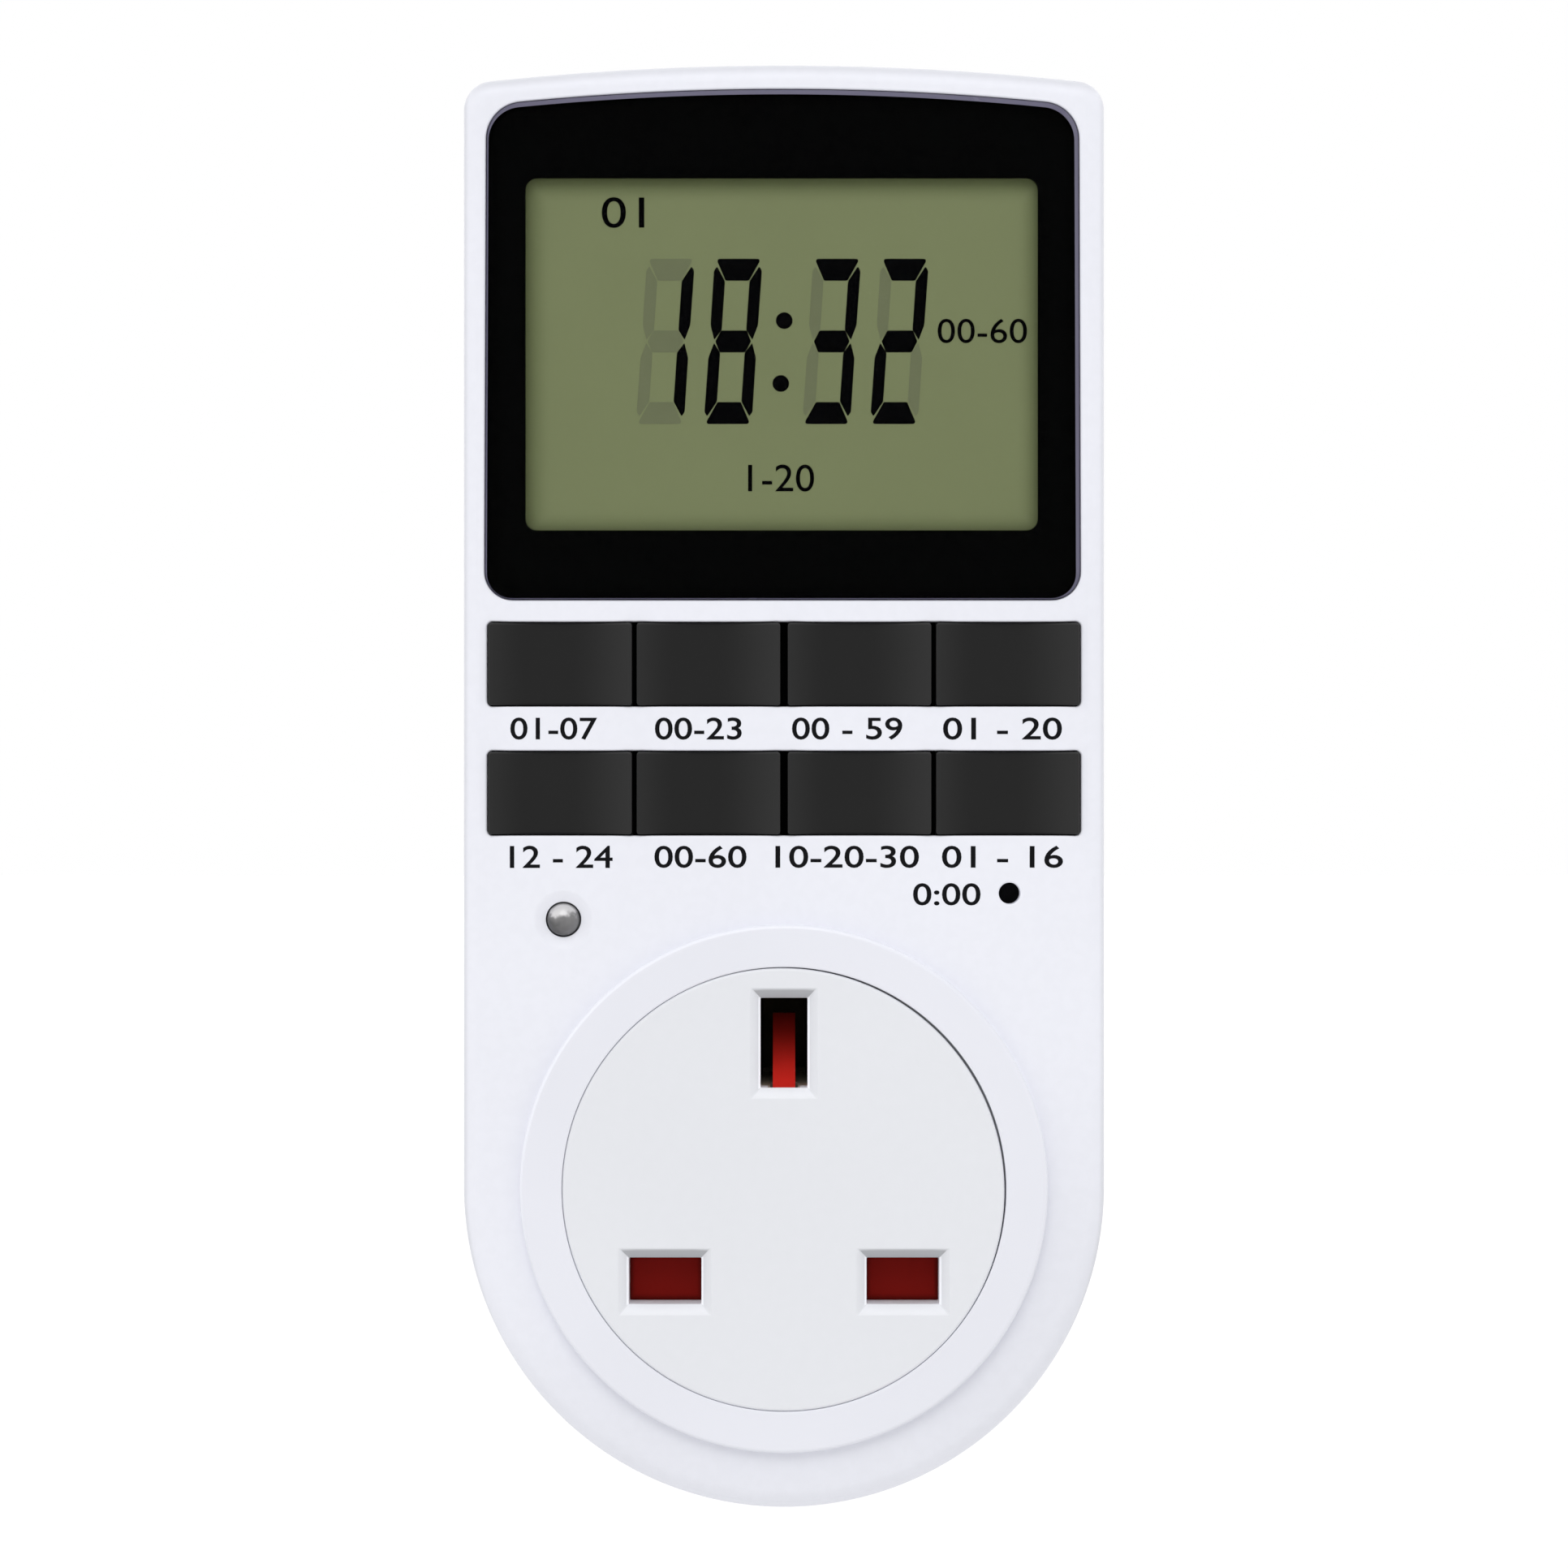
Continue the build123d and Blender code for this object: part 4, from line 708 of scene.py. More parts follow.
def key_rubber_painted_sheen(name, tone):
    """Satin rubber of a key, paler towards its two ends and on its upper and side edges.

    The paler ends are a painted sheen and the paler edges a painted highlight. The attribute across goes from -1 at
    the left end to 1 at the right one. The edges are where the normal points up or sideways by more than 0.3.
    """
    f = Finish(name)
    where, _, _, _, sideways, rise = f.place_and_facing()
    across = f.node("ShaderNodeAttribute", {"attribute_name": "across"}, output="Fac")
    cloud = f.noise(where, 150.0, 4.0, 0.55)
    pits = f.noise(where, 2600.0, 2.0)
    # painted sheen towards the two ends
    ends = across.between(0.1, 1.15) * 0.61 + (0 - across).between(0.45, 1.2) * 0.44
    # painted highlight on the upper and side edges
    rims = rise.between(0.3, 0.8).most(sideways.size().between(0.3, 0.8) * 0.6)
    base = f.blend(ends + rims * 0.8 + cloud.between(0.3, 0.8) * 0.03, shade(tone, 0.94), shade(tone, 3.8))
    return f.surface(base=base, rough=0.44 + (cloud - 0.5) * 0.1, specular=0.16,
                     normal=f.bump(pits, 0.003 * MM))


def clear_pane(name, straight=0.0008, rough=0.05):
    """Clear acrylic: what lies behind it shows, under a gloss that grows towards grazing angles.

    The gloss is straight + (1 - straight) (1 - cos a)^5, where a is the angle between the view and the normal.
    """
    f = Finish(name)
    ripple = f.noise(f.where(), 60.0, 2.0)
    through = f.node("ShaderNodeBsdfTransparent")
    sheen = f.node("ShaderNodeBsdfAnisotropic", {"distribution": "GGX"},
                   {"Color": (1, 1, 1), "Roughness": rough, "Normal": f.bump(ripple, 0.01 * MM)})
    facing = f.node("ShaderNodeLayerWeight", inputs={"Blend": 0.5}, output="Facing")
    gloss = straight + (1 - straight) * facing ** 5
    return f.close(f.node("ShaderNodeMixShader", inputs={0: gloss, 1: through, 2: sheen}))


def lamp_cup_painted_light(name, x0, z0, radius):
    """Silvery cup seen through the lamp: a pale cap, a grey middle and a dark lower left, with a thin dark rim.

    The pale cap is a painted highlight, the dark lower left and the thin dark rim are painted shade. With
    u = (x - x0) / radius and v = (z - z0) / radius, the cap lies where v is over 0.3, the dark part where u + v is
    under
    -0.3, and the rim where the root of u^2 + v^2 passes 0.9, all with uneven edges.
    """
    f = Finish(name)
    where, x, _, z = f.place()
    u, v = (x - x0) / radius, (z - z0) / radius
    patches = f.noise(where, 900.0, 3.0, 0.55) - 0.5
    cap = (v + patches * 1.3).between(0.12, 0.52)
    dark = 1 - (u * 0.8 + v + patches * 0.8).between(-1.1, -0.15)
    rim = ((u ** 2 + v ** 2) ** 0.5).between(0.84, 1.0) * (0.45 + (u + v).between(-0.6, 0.6) * 0.55)
    # painted highlight on the cap, painted shade on the lower left and at the rim
    light = (0.28 + patches * 0.25 + cap * 0.72) * (1 - dark * 0.62) * (1 - rim * 0.8)
    base = f.blend(light.most(0.0).least(1.0), (0.012, 0.012, 0.013), (0.62, 0.61, 0.62))
    return f.surface(base=base, rough=0.42 + patches * 0.2, metal=0.3, specular=0.2)


def screen_glass_painted_shade(name, tone, x0, z0, half_width, half_height):
    """Reflective display glass: olive with a silky grain, darker near the border of the clear opening.

    The darker border is painted shade from the edge of the printed mask. The distance to the border is the lesser of
    half_width - |x - x0| and half_height - |z - z0|, both taken a little deeper on the left and at the top.
    """
    f = Finish(name)
    where, x, _, z = f.place()
    side = half_width - (x - (x0 + 0.25 * MM)).size()
    level = half_height - (z - (z0 - 0.25 * MM)).size()
    border = 1 - side.least(level).between(-0.5 * MM, 2.1 * MM)
    silk = f.noise(where, 5200.0, 2.0, 0.7)
    cloud = f.noise(where, 70.0, 2.0)
    base = f.blend(cloud.between(0.3, 0.7) * 0.5 + silk.between(0.3, 0.7) * 0.5, shade(tone, 0.97),
                   shade(tone, 1.03))
    # painted shade along the border of the clear opening
    base = f.blend(border, base, (tone[0] * 0.62, tone[1] * 0.64, tone[2] * 0.56))
    return f.surface(base=base, rough=0.42 + silk * 0.1, specular=0.12,
                     normal=f.bump(silk, 0.002 * MM))


def printed(name, tone, rough, specular, spread=1.6, scale=3200.0):
    """Pad-printed ink: flat tone with a fine uneven cover."""
    f = Finish(name)
    cover = f.noise(f.where(), scale, 3.0, 0.65)
    return f.surface(base=f.blend(cover.between(0.3, 0.75), tone, shade(tone, spread)),
                     rough=rough + (cover - 0.5) * 0.1, specular=specular)


def board_finish(name, tone):
    """Circuit board: solder mask with a woven lift of glass cloth under it."""
    f = Finish(name)
    where = f.where()
    weave, weft = (f.node("ShaderNodeTexWave", {"bands_direction": way}, {"Vector": where, "Scale": 620.0})
                   for way in "XZ")
    cloth = weave * weft
    tracks = f.noise(where, 140.0, 1.0)
    base = f.blend(tracks.between(0.48, 0.52), tone, shade(tone, 1.35))
    return f.surface(base=base, rough=0.34 + cloth * 0.1, normal=f.bump(cloth, 0.004 * MM))


def seen(f):
    """1 for the rays by which the camera, mirrors and glass see a thing, else 0."""
    camera, glossy, through = (f.node("ShaderNodeLightPath", output=name)
                               for name in ("Is Camera Ray", "Is Glossy Ray", "Is Transmission Ray"))
    return camera.most(glossy).most(through)


def sky(tree, horizon, zenith):
    """Soft light from all round: horizon + (zenith - horizon) up^2, and plain white where it is seen."""
    f = Finish("sky", tree)
    way = f.node("ShaderNodeTexCoord", output="Generated")
    up = f.parts(way)[2]
    level = horizon + (zenith - horizon) * up.most(0.0) ** 2
    shown = seen(f)
    glow = f.node("ShaderNodeBackground", inputs={"Color": (1.0, 1.0, 1.0), "Strength": level + shown * (1 - level)})
    f.close(glow, "ShaderNodeOutputWorld")


def floor_finish(name, lift, glow):
    """Plain white floor that keeps the shadow on it and cannot be seen from below.

    It shows with lift added to it, and lights what stands over it with glow added.
    """
    f = Finish(name)
    speck = f.noise(f.where(), 240.0, 2.0)
    below = f.node("ShaderNodeNewGeometry", output="Backfacing")
    paint = f.principled(base=f.blend(speck, (0.54, 0.54, 0.54), (0.56, 0.56, 0.56)), rough=0.85, specular=0.1)
    lit, shown = (f.node("ShaderNodeAddShader", inputs={
        0: paint, 1: f.node("ShaderNodeEmission", inputs={"Color": (1, 1, 1), "Strength": added})})
        for added in (glow, lift))
    plain = f.node("ShaderNodeMixShader", inputs={0: seen(f), 1: lit, 2: shown})
    clear = f.node("ShaderNodeBsdfTransparent")
    return f.close(f.node("ShaderNodeMixShader", inputs={0: below, 1: plain, 2: clear}))


# tone, grain as a share of the setting, roughness, specular level and spread of tone of each plain plastic
MOULDED = {
    "ivory": ((0.72, 0.67, 0.55), 1.0, 0.5, 0.4, 0.03), "frame": ((0.78, 0.78, 0.76), 1.0, 0.5, 0.5, 0.03),
    "chip": ((0.012, 0.012, 0.012), 1.0, 0.35, 0.4, 0.15), "sleeve": ((0.010, 0.010, 0.011), 1.0, 0.5, 0.35, 0.12),
    "relay": ((0.015, 0.08, 0.30), 1.0, 0.35, 0.5, 0.05), "yellow": ((0.70, 0.42, 0.03), 1.0, 0.35, 0.5, 0.05),
    "can": ((0.02, 0.02, 0.022), 0.5, 0.30, 0.5, 0.10), "varistor": ((0.03, 0.11, 0.36), 2.0, 0.45, 0.5, 0.08),
    "resistor": ((0.06, 0.22, 0.12), 2.0, 0.5, 0.4, 0.08), "battery": ((0.05, 0.33, 0.10), 0.3, 0.25, 0.5, 0.04),
    "connector": ((0.75, 0.74, 0.68), 1.0, 0.45, 0.4, 0.03),
}
# tone, roughness and specular level of each soft surface
RUBBER = {
    "mat": ((0.006, 0.006, 0.007), 0.8, 0.1), "zebra": ((0.09, 0.09, 0.10), 0.7, 0.2),
    "brown": ((0.10, 0.035, 0.012), 0.45, 0.4), "blue": ((0.02, 0.09, 0.40), 0.45, 0.4),
    "ribbon": ((0.30, 0.31, 0.33), 0.5, 0.4),
}
MADE = {}


def finish_of(key):
    """The material of that key, made on first use from the scene's settings."""
    if key in MADE:
        return MADE[key]
    s, d, c, g = (getattr(bpy.context.scene, "timer_" + part) for part in ("finish", "display", "case", "stage"))
    case, disc = tuple(s.case), tuple(s.disc)
    makers = {
        "case": lambda n: case_plastic_painted_shade(n, case, s.grain, c.half_width, c.crown, c.front),
        "ring": lambda n: ring_plastic_painted_highlight(n, shade(case, 0.95), s.grain * 0.8),
        "disc": lambda n: disc_plastic_painted_light(n, disc, s.grain * 0.7, DISC[0][1]),
        # window bevel: its purple-grey base colour is a painted reflection on the black acrylic edge
        "bevel": lambda n: moulded(n, tuple(s.bevel), s.grain * 0.3, 0.25, 0.5),
        "contact": lambda n: brushed(n, (0.05, 0.040, 0.028), 0.55),
        "steel": lambda n: brushed(n, (0.62, 0.62, 0.63), 0.30),
        "brass": lambda n: brushed(n, tuple(s.metal), 0.26),
        "key": lambda n: key_rubber_painted_sheen(n, tuple(s.key)),
        "shutter": lambda n: shutter_red_painted_shade(n, tuple(s.shutter), s.grain),
        "pane": clear_pane,
        "lamp": lambda n: clear_pane(n, 0.02, 0.06),
        "cup": lambda n: lamp_cup_painted_light(n, centre(LAMP, 0), centre(LAMP, 2), 1.55 * MM),
        "mask": lambda n: printed(n, (0.0005, 0.0005, 0.0005), 0.6, 0.0),
        "screen": lambda n: screen_glass_painted_shade(n, tuple(s.screen), d.view_x, d.view_z, d.view_width / 2,
                                         d.view_height / 2),
        "ghost": lambda n: printed(n, tuple(s.ghost), 0.5, 0.05, 1.04, 300.0),
        "lit": lambda n: printed(n, (0.0008, 0.0008, 0.0010), 0.5, 0.0),
        "ink": lambda n: printed(n, tuple(s.ink), 0.5, 0.05),
        "board": lambda n: board_finish(n, (0.012, 0.10, 0.035)),
        "floor": lambda n: floor_finish(n, g.floor_lift, g.floor_glow),
    }
    name = "finish_" + key
    if key in MOULDED:
        tone, share, *rest = MOULDED[key]
        MADE[key] = moulded(name, tone, s.grain * share, *rest)
    elif key in RUBBER:
        MADE[key] = rubber(name, *RUBBER[key])
    else:
        MADE[key] = makers[key](name)
    return MADE[key]


SLOT_FINISH = {
    "case_white": "case", "disc_white": "disc", "window_clear": "pane", "mask_black": "mask", "lcd_olive": "screen",
    "frame_white": "frame", "zebra_grey": "zebra", "board_green": "board", "chip_black": "chip",
    "key_charcoal": "key", "mat_rubber": "mat", "lamp_clear": "lamp", "steel": "steel", "carrier_ivory": "ivory",
    "shutter_red": "shutter", "brass": "brass", "sleeve_black": "sleeve", "wire_brown": "brown",
    "wire_blue": "blue", "relay_blue": "relay", "capacitor_yellow": "yellow", "capacitor_black": "can",
    "varistor_blue": "varistor", "resistor_green": "resistor", "battery_green": "battery",
    "connector_white": "connector", "ribbon_grey": "ribbon",
}


# ---- pieces ----
def case_loop(s):
    """The case's outline, seen from the front."""
    return arched(s.half_width, s.crown, s.crown_radius, s.corner)


def window_loop(s, d):
    """The window's outline, from its CAD box: sides at its half width, arch concentric with the case's."""
    top = LENS[1][2]
    loop = arched(LENS[1][0], top, s.crown_radius - (s.crown - top), d.upper_corner, LENS[0][2], d.lower_corner,
                  d.taper)
    loop.points[:, 0] += d.window_shift
    return loop


def key_boxes():
    """The CAD boxes of the eight keys."""
    return [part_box(name) for name in KEYS]


class TIMER_OT_front_case(bpy.types.Operator):
    """Front half of the case with its ring, openings and lamp dish"""
    bl_idname = "timer_switch.front_case"
    bl_label = "Front case"

    def execute(self, context):
        s, d = context.scene.timer_case, context.scene.timer_display
        shell = Shell()
        outline = case_loop(s)
        front, inner = s.front, s.front + s.skin
        r, e, hair = s.front_round, s.edge, 0.02 * MM
        shell.band(rings(
            outline, [(-s.wall, inner), (-s.wall, s.parting), (-s.seam_depth, s.parting),
                      (-s.seam_depth, s.parting - s.seam_width), (0, s.parting - s.seam_width)],
            bend(-r, front + r, r, 0, -90, 12), [(-r - hair, front)]))
        lip = np.vstack([[(e + hair, front)], bend(e, front + e, e, -90, -180, 4)])
        # window recess with the opening behind it
        recess = window_loop(s, d)
        recess = Loop(recess.at(d.gap), recess.outward)
        floor = MASK[1][1]
        ledge = rounded(0, d.view_z, d.view_width + 1.2 * MM, d.view_height + 1.2 * MM, d.view_corner, 6, 12)
        shell.band(rings(recess, lip, [(0, floor)]))
        shell.face([recess.at(), ledge.at()], floor)
        shell.wall(ledge.at(), floor, inner)
        # the two rows of keys, whose boxes hold a flange above and below each face
        boxes, play, flange = key_boxes(), 0.12 * MM, context.scene.timer_keys.flange
        rows = []
        for box in (boxes[0], boxes[4]):
            half = boxes[3][1][0] + play
            height = box[1][2] - box[0][2] - 2 * flange + 2 * play
            row = rounded(0, centre(box, 2), 2 * half, height, 0.5 * MM, 5, 24)
            shell.band(rings(row, lip, [(0, inner)]))
            rows.append(row)
        # a shallow round bowl about the lamp's hole: radius, depth and hole in millimetres
        wide, deep, hole = 2.7, 0.45, 1.66
        lamp, skirt = circle(centre(LAMP, 0), centre(LAMP, 2), hole * MM, 56), 1.16 * MM
        ball = (wide**2 + deep**2) / (2 * deep)
        radii = np.linspace(wide, hole, 6)
        bowl = front + (deep - ball + np.sqrt(ball**2 - radii**2)) * MM
        shell.band(rings(lamp, [(skirt, front)] + list(zip((radii - hole) * MM, bowl)) + [(0, inner)]))
        # the hole of the reset button
        reset = circle(centre(BUTTON, 0), centre(BUTTON, 2), 1.0 * MM, 40)
        shell.band(rings(reset, lip, [(0, inner)]))
        # raised ring round the socket
        ring, foot = circle(0, 0, s.ring_radius, 192), 0.3 * MM
        top, width = FRONT[0][1], s.ring_radius - s.ring_bore
        q, root, brim = s.ring_round, 0.1 * MM, 0.15 * MM
        shell.band(rings(
            ring, [(foot, front)], bend(root, front - root, root, 90, 180, 4), bend(-q, top + q, q, 0, -90, 12),
            [(-q - hair, top), (-width + brim + hair, top)],
            bend(-width + brim, top + brim, brim, -90, -180, 4), [(-width, inner)]),
            # the foot keeps the case's finish
            np.array([0] * 6 + [1] * 20))
        mouth = e + hair
        shell.face([outline.at(-r - hair), recess.at(mouth), rows[0].at(mouth), rows[1].at(mouth),
                    lamp.at(skirt), reset.at(mouth), ring.at(foot)], front)
        shell.face([outline.at(-s.wall), ledge.at(), rows[0].at(), rows[1].at(), lamp.at(), reset.at(),
                    ring.at(-width)], inner)
        piece("front_shell", shell.mesh("front_shell"), "case", "case ring",
              ["front_case"])
        return {"FINISHED"}


class TIMER_OT_rear_case(bpy.types.Operator):
    """Rear half of the case with the plug boss, its pin holes and the screw wells"""
    bl_idname = "timer_switch.rear_case"
    bl_label = "Rear case"

    def execute(self, context):
        s = context.scene.timer_case
        shell = Shell()
        outline = case_loop(s)
        back, inner, hair = s.back, s.back - s.skin, 0.06 * MM
        r = s.back_round
        # a tongue inside the wall of the front half runs past the parting by lap, between these two outsets
        lap, inside, outside = 1.5 * MM, -2.65 * MM, -2.15 * MM
        shell.band(rings(
            outline, [(-s.wall, inner), (-s.wall, s.parting + lap), (inside, s.parting + lap),
                      (inside, s.parting - lap), (outside, s.parting - lap), (outside, s.parting),
                      (-s.seam_depth, s.parting), (-s.seam_depth, s.parting + s.seam_width),
                      (0, s.parting + s.seam_width)],
            bend(-r, back - r, r, 0, 90, 12), [(-r - hair, back)]))
        boss, cavity = circle(0, 0, s.boss_radius, 160), circle(0, 0, s.boss_radius - 2.0 * MM, 96)
        q, floor, foot, root = s.boss_round, -2.5 * MM, 0.3 * MM, 0.2 * MM
        shell.band(rings(boss, [(foot, back)], bend(root, back + root, root, -90, -180, 4),
                         bend(-q, -q, q, 0, 90, 10), [(-q - hair, 0)]))
        shell.wall(cavity.at(), inner, floor)
        # the sunk field where a label would go
        field, lip, sunk = rounded(0, 66.0 * MM, 42.0 * MM, 40.0 * MM, 1.5 * MM, 8, 16), 0.1 * MM, back - 0.3 * MM
        shell.band(rings(field, [(lip + hair, back)], bend(lip, back - lip, lip, 90, 180, 4), [(0, sunk)]))
        shell.face([field.at()], sunk)
        play = 0.1 * MM
        holes = [rounded(x, z, w + play, h + play, 0.3 * MM, 4, 4)
                 for x, z, w, h, _ in (PINS[name] for name in LEFT_TO_RIGHT)]
        for hole in holes:
            shell.wall(hole.at(), 0.0, floor)
        shell.face([outline.at(-r - hair), boss.at(foot), field.at(lip + hair)], back)
        shell.face([outline.at(-s.wall), cavity.at()], inner)
        shell.face([boss.at(-q - hair)] + [h.at() for h in holes], 0.0)
        shell.face([cavity.at()] + [h.at() for h in holes], floor)
        # wells for the case screws, cut through the rear face and lined by tubes down to the parting
        wells, tubes = Shell(), Shell()
        well, screw, tube = 2.85 * MM, 1.65 * MM, 3.4 * MM
        seat, end, top = -17.0 * MM, s.parting, inner + 0.3 * MM
        for x, z in SCREWS:
            x, z = x * MM, z * MM
            wells.block(circle(x, z, well, 48).at(), -12.0 * MM, back + 1.0 * MM)
            tubes.band(lathe(x, z, [(well, top), (well, seat), (screw, seat), (screw, end), (tube, end), (tube, top),
                                    (well, top)], 48))
        mesh = joined(carve(shell.mesh("rear_shell"), wells.mesh("wells")), tubes.mesh("linings"))
        piece("rear_shell", mesh, "case", "case", ["rear_case"])
        return {"FINISHED"}


def segments(width, height, upright, level):
    """Outlines of the seven segments about the middle of a digit, from top, clockwise, to the middle one.

    With a = width / 2 and b = height / 2, the level segments are trapezoids and a hexagon between the uprights,
    whose ends run to points where two of them meet.
    """
    a, b, u, v, g = width / 2, height / 2, upright, level, 0.05 * MM
    top = [(-a + 0.33 * u, b), (a - 0.33 * u, b), (a - 0.22 * u, b - 0.10 * v), (a - u - g, b - v),
           (-a + u + g, b - v), (-a + 0.22 * u, b - 0.10 * v)]
    right = [(a - 0.25 * u, b - 0.35 * v), (a, b - 0.55 * v), (a - 0.02 * u, 0.75 * v), (a - 0.42 * u, 0.07 * v),
             (a - u, 0.5 * v + g), (a - u, b - v - g)]
    middle = [(-a + u - g, v / 2), (a - u + g, v / 2), (a - 0.52 * u, 0), (a - u + g, -v / 2),
              (-a + u - g, -v / 2), (-a + 0.52 * u, 0)]
    flip = np.array([1.0, -1.0])
    turn = np.array([-1.0, 1.0])
    top, right, middle = (np.array(p) for p in (top, right, middle))
    return [top, right, right * flip, top * flip, right * flip * turn, right * turn, middle]


LIT = {"0": "012345", "1": "12", "2": "01346", "3": "01236", "4": "1256", "5": "02356", "6": "023456", "7": "012",
       "8": "0123456", "9": "012356"}


def soften(points, cut):
    """Each corner cut back by the length cut along both of its edges."""
    before = np.roll(points, 1, axis=0) - points
    after = np.roll(points, -1, axis=0) - points
    before /= np.linalg.norm(before, axis=1)[:, None]
    after /= np.linalg.norm(after, axis=1)[:, None]
    return np.stack([points + before * cut, points + (before + after) * cut * 0.30, points + after * cut],
                    axis=1).reshape(-1, 2)


def words_mesh(name, marks, depth, thick, weight=0.0):
    """Marks from the built-in typeface at one depth: text, middle (x, z), height and width in millimetres each.

    A mark is stretched so that its digits have the height and the whole has the width, about its own middle.
    """
    points, faces, count = [], [], 0
    for text, *sizes in marks:
        x, z, height, width = (size * MM for size in sizes)
        curve = bpy.data.curves.new("mark", "FONT")
        curve.body, curve.size, curve.extrude, curve.bevel_depth = text, 1.0, 0.05, weight
        curve.resolution_u, curve.bevel_resolution = 5, 0
        ob = bpy.data.objects.new("mark", curve)
        bpy.context.scene.collection.objects.link(ob)
        bpy.context.view_layer.update()
        mesh = bpy.data.meshes.new_from_object(ob.evaluated_get(bpy.context.evaluated_depsgraph_get()))
        bpy.data.objects.remove(ob)
        flat = np.empty(len(mesh.vertices) * 3)
        mesh.vertices.foreach_get("co", flat)
        flat = flat.reshape(-1, 3)
        low, high = flat.min(axis=0), flat.max(axis=0)
        unit = (flat - (low + high) / 2) / (high - low)
        points.append(np.column_stack([x + unit[:, 0] * width, depth - unit[:, 2] * thick, z + unit[:, 1] * height]))
        faces += [[count + v for v in polygon.vertices] for polygon in mesh.polygons]
        count += len(flat)
        bpy.data.meshes.remove(mesh)
    mesh = bpy.data.meshes.new(name)
    mesh.from_pydata(np.vstack(points).tolist(), [], faces)
    weld(mesh)
    return mesh


class TIMER_OT_display(bpy.types.Operator):
    """Display window, its printed border and the segments of the display"""
    bl_idname = "timer_switch.display"
    bl_label = "Display"

    def execute(self, context):
        s, d = context.scene.timer_case, context.scene.timer_display
        outline = window_loop(s, d)
        # the pane stops short of its mask by a hair, which keeps their faces apart
        hair = 0.04 * MM
        front, back, b = LENS[0][1], LENS[1][1] - hair, d.bevel
        pane = Shell()
        pane.band(rings(outline, [(0, back), (0, front + b)]), 1)
        printed_to = outline.at(-b) - np.array([d.print_shift, d.print_drop])
        pane.band(stack((outline.at(), front + b), (printed_to, front)), 1)
        pane.face([printed_to], front)
        pane.face([outline.at()], back)
        piece("window_pane", pane.mesh("window_pane", 25.0), "case", "pane bevel",
              ["display_window"])
        sheet = Shell()
        view = rounded(d.view_x, d.view_z, d.view_width, d.view_height, d.view_corner, 10, 16)
        for depth in (MASK[0][1], MASK[1][1]):
            sheet.face([outline.at(), view.at()], depth)
        sheet.wall(outline.at(), MASK[0][1], MASK[1][1])
        sheet.wall(view.at(), MASK[0][1], MASK[1][1])
        piece("window_border", sheet.mesh("window_border"), "case", "mask", ["window_mask"])
        # the digits: every segment is a thin plate on the glass, lit or resting
        plates = {True: Shell(), False: Shell()}
        glass, thick, slant = GLASS[0][1], 0.02 * MM, 0.067
        shapes = segments(d.digit_width, d.digit_height, d.upright, d.level)
        for digit, x in zip(d.reading, DIGIT_X):
            for number, shape in enumerate(shapes):
                shape = soften(shape, 0.10 * MM)
                place = np.column_stack([shape[:, 0] + slant * shape[:, 1] + x * MM, shape[:, 1] + DIGIT_Z * MM])
                lit = str(number) in LIT[digit]
                plates[lit].block(place, glass - thick, glass + thick / 2)
        dot = 0.78 * MM
        for x, z in COLON:
            plates[True].block(circle(x * MM, z * MM, dot, 32).at(), glass - thick, glass + thick / 2)
        for name, lit in (("digits_lit", True), ("digits_resting", False)):
            piece(name, plates[lit].mesh(name), "case", "lit" if lit else "ghost", ())
        mesh = words_mesh("display_marks", DISPLAY_MARKS, glass - thick / 4, thick * 1.5)
        piece("display_marks", mesh, "case", "lit", ())
        return {"FINISHED"}


class TIMER_OT_keys(bpy.types.Operator):
    """Eight keys with hollowed faces"""
    bl_idname = "timer_switch.keys"
    bl_label = "Keys"

    def execute(self, context):
        s = context.scene.timer_keys
        e, hair, flange_back = s.edge, 0.04 * MM, -37.7 * MM
        for name in KEYS:
            low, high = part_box(name)
            x, z = centre((low, high), 0), centre((low, high), 2)
            width, height = high[0] - low[0], high[2] - low[2] - 2 * s.flange
            front, back, foot = low[1], high[1], flange_back - s.flange_thick / 2
            depth = s.dish - math.sqrt(s.dish**2 - width**2 / 4)

            def hollow(px):
                """Depth of the face: a cylinder of the dish radius about an upright line in front of the key."""
                return front + depth - s.dish + np.sqrt(s.dish**2 - (px - x) ** 2)

            cap = rounded(x, z, width, height, s.corner, 5, 28)
            turned = rings(cap, bend(-e, e, e, 0, -90, 7), [(-e - hair, 0)])
            turned[..., 1] += hollow(turned[..., 0])
            shell = Shell()
            shell.band(np.concatenate([stack((cap.at(), foot)), turned]))
            # points across the face, which let its triangles follow the hollow
            u, v = np.meshgrid(np.linspace(-0.46, 0.46, 33), np.linspace(-0.40, 0.40, 5))
            extra = np.column_stack([x + u.ravel() * width * 0.97, z + v.ravel() * height])
            shell.face([cap.at(-e - hair)], hollow, 0, extra)
            shell.face([cap.at()], foot)
            rim = rounded(x, z, width, height + 2 * s.flange, 0.25 * MM, 4, 6).at()
            shell.block(rim, flange_back - s.flange_thick, flange_back)
            # the plunger reaches further back than the flange
            stem = rounded(x, z, 5.0 * MM, 1.2 * MM, 0.2 * MM, 3, 3).at()
            shell.block(stem, flange_back - 0.2 * MM, back)
            mesh = shell.mesh(name + "_cap")
            points = np.empty(len(mesh.vertices) * 3)
            mesh.vertices.foreach_get("co", points)
            across = mesh.attributes.new("across", "FLOAT", "POINT")
            across.data.foreach_set("value", (points[::3] - x) / (width / 2))
            piece(name + "_cap", mesh, name, "key", [name])
        return {"FINISHED"}


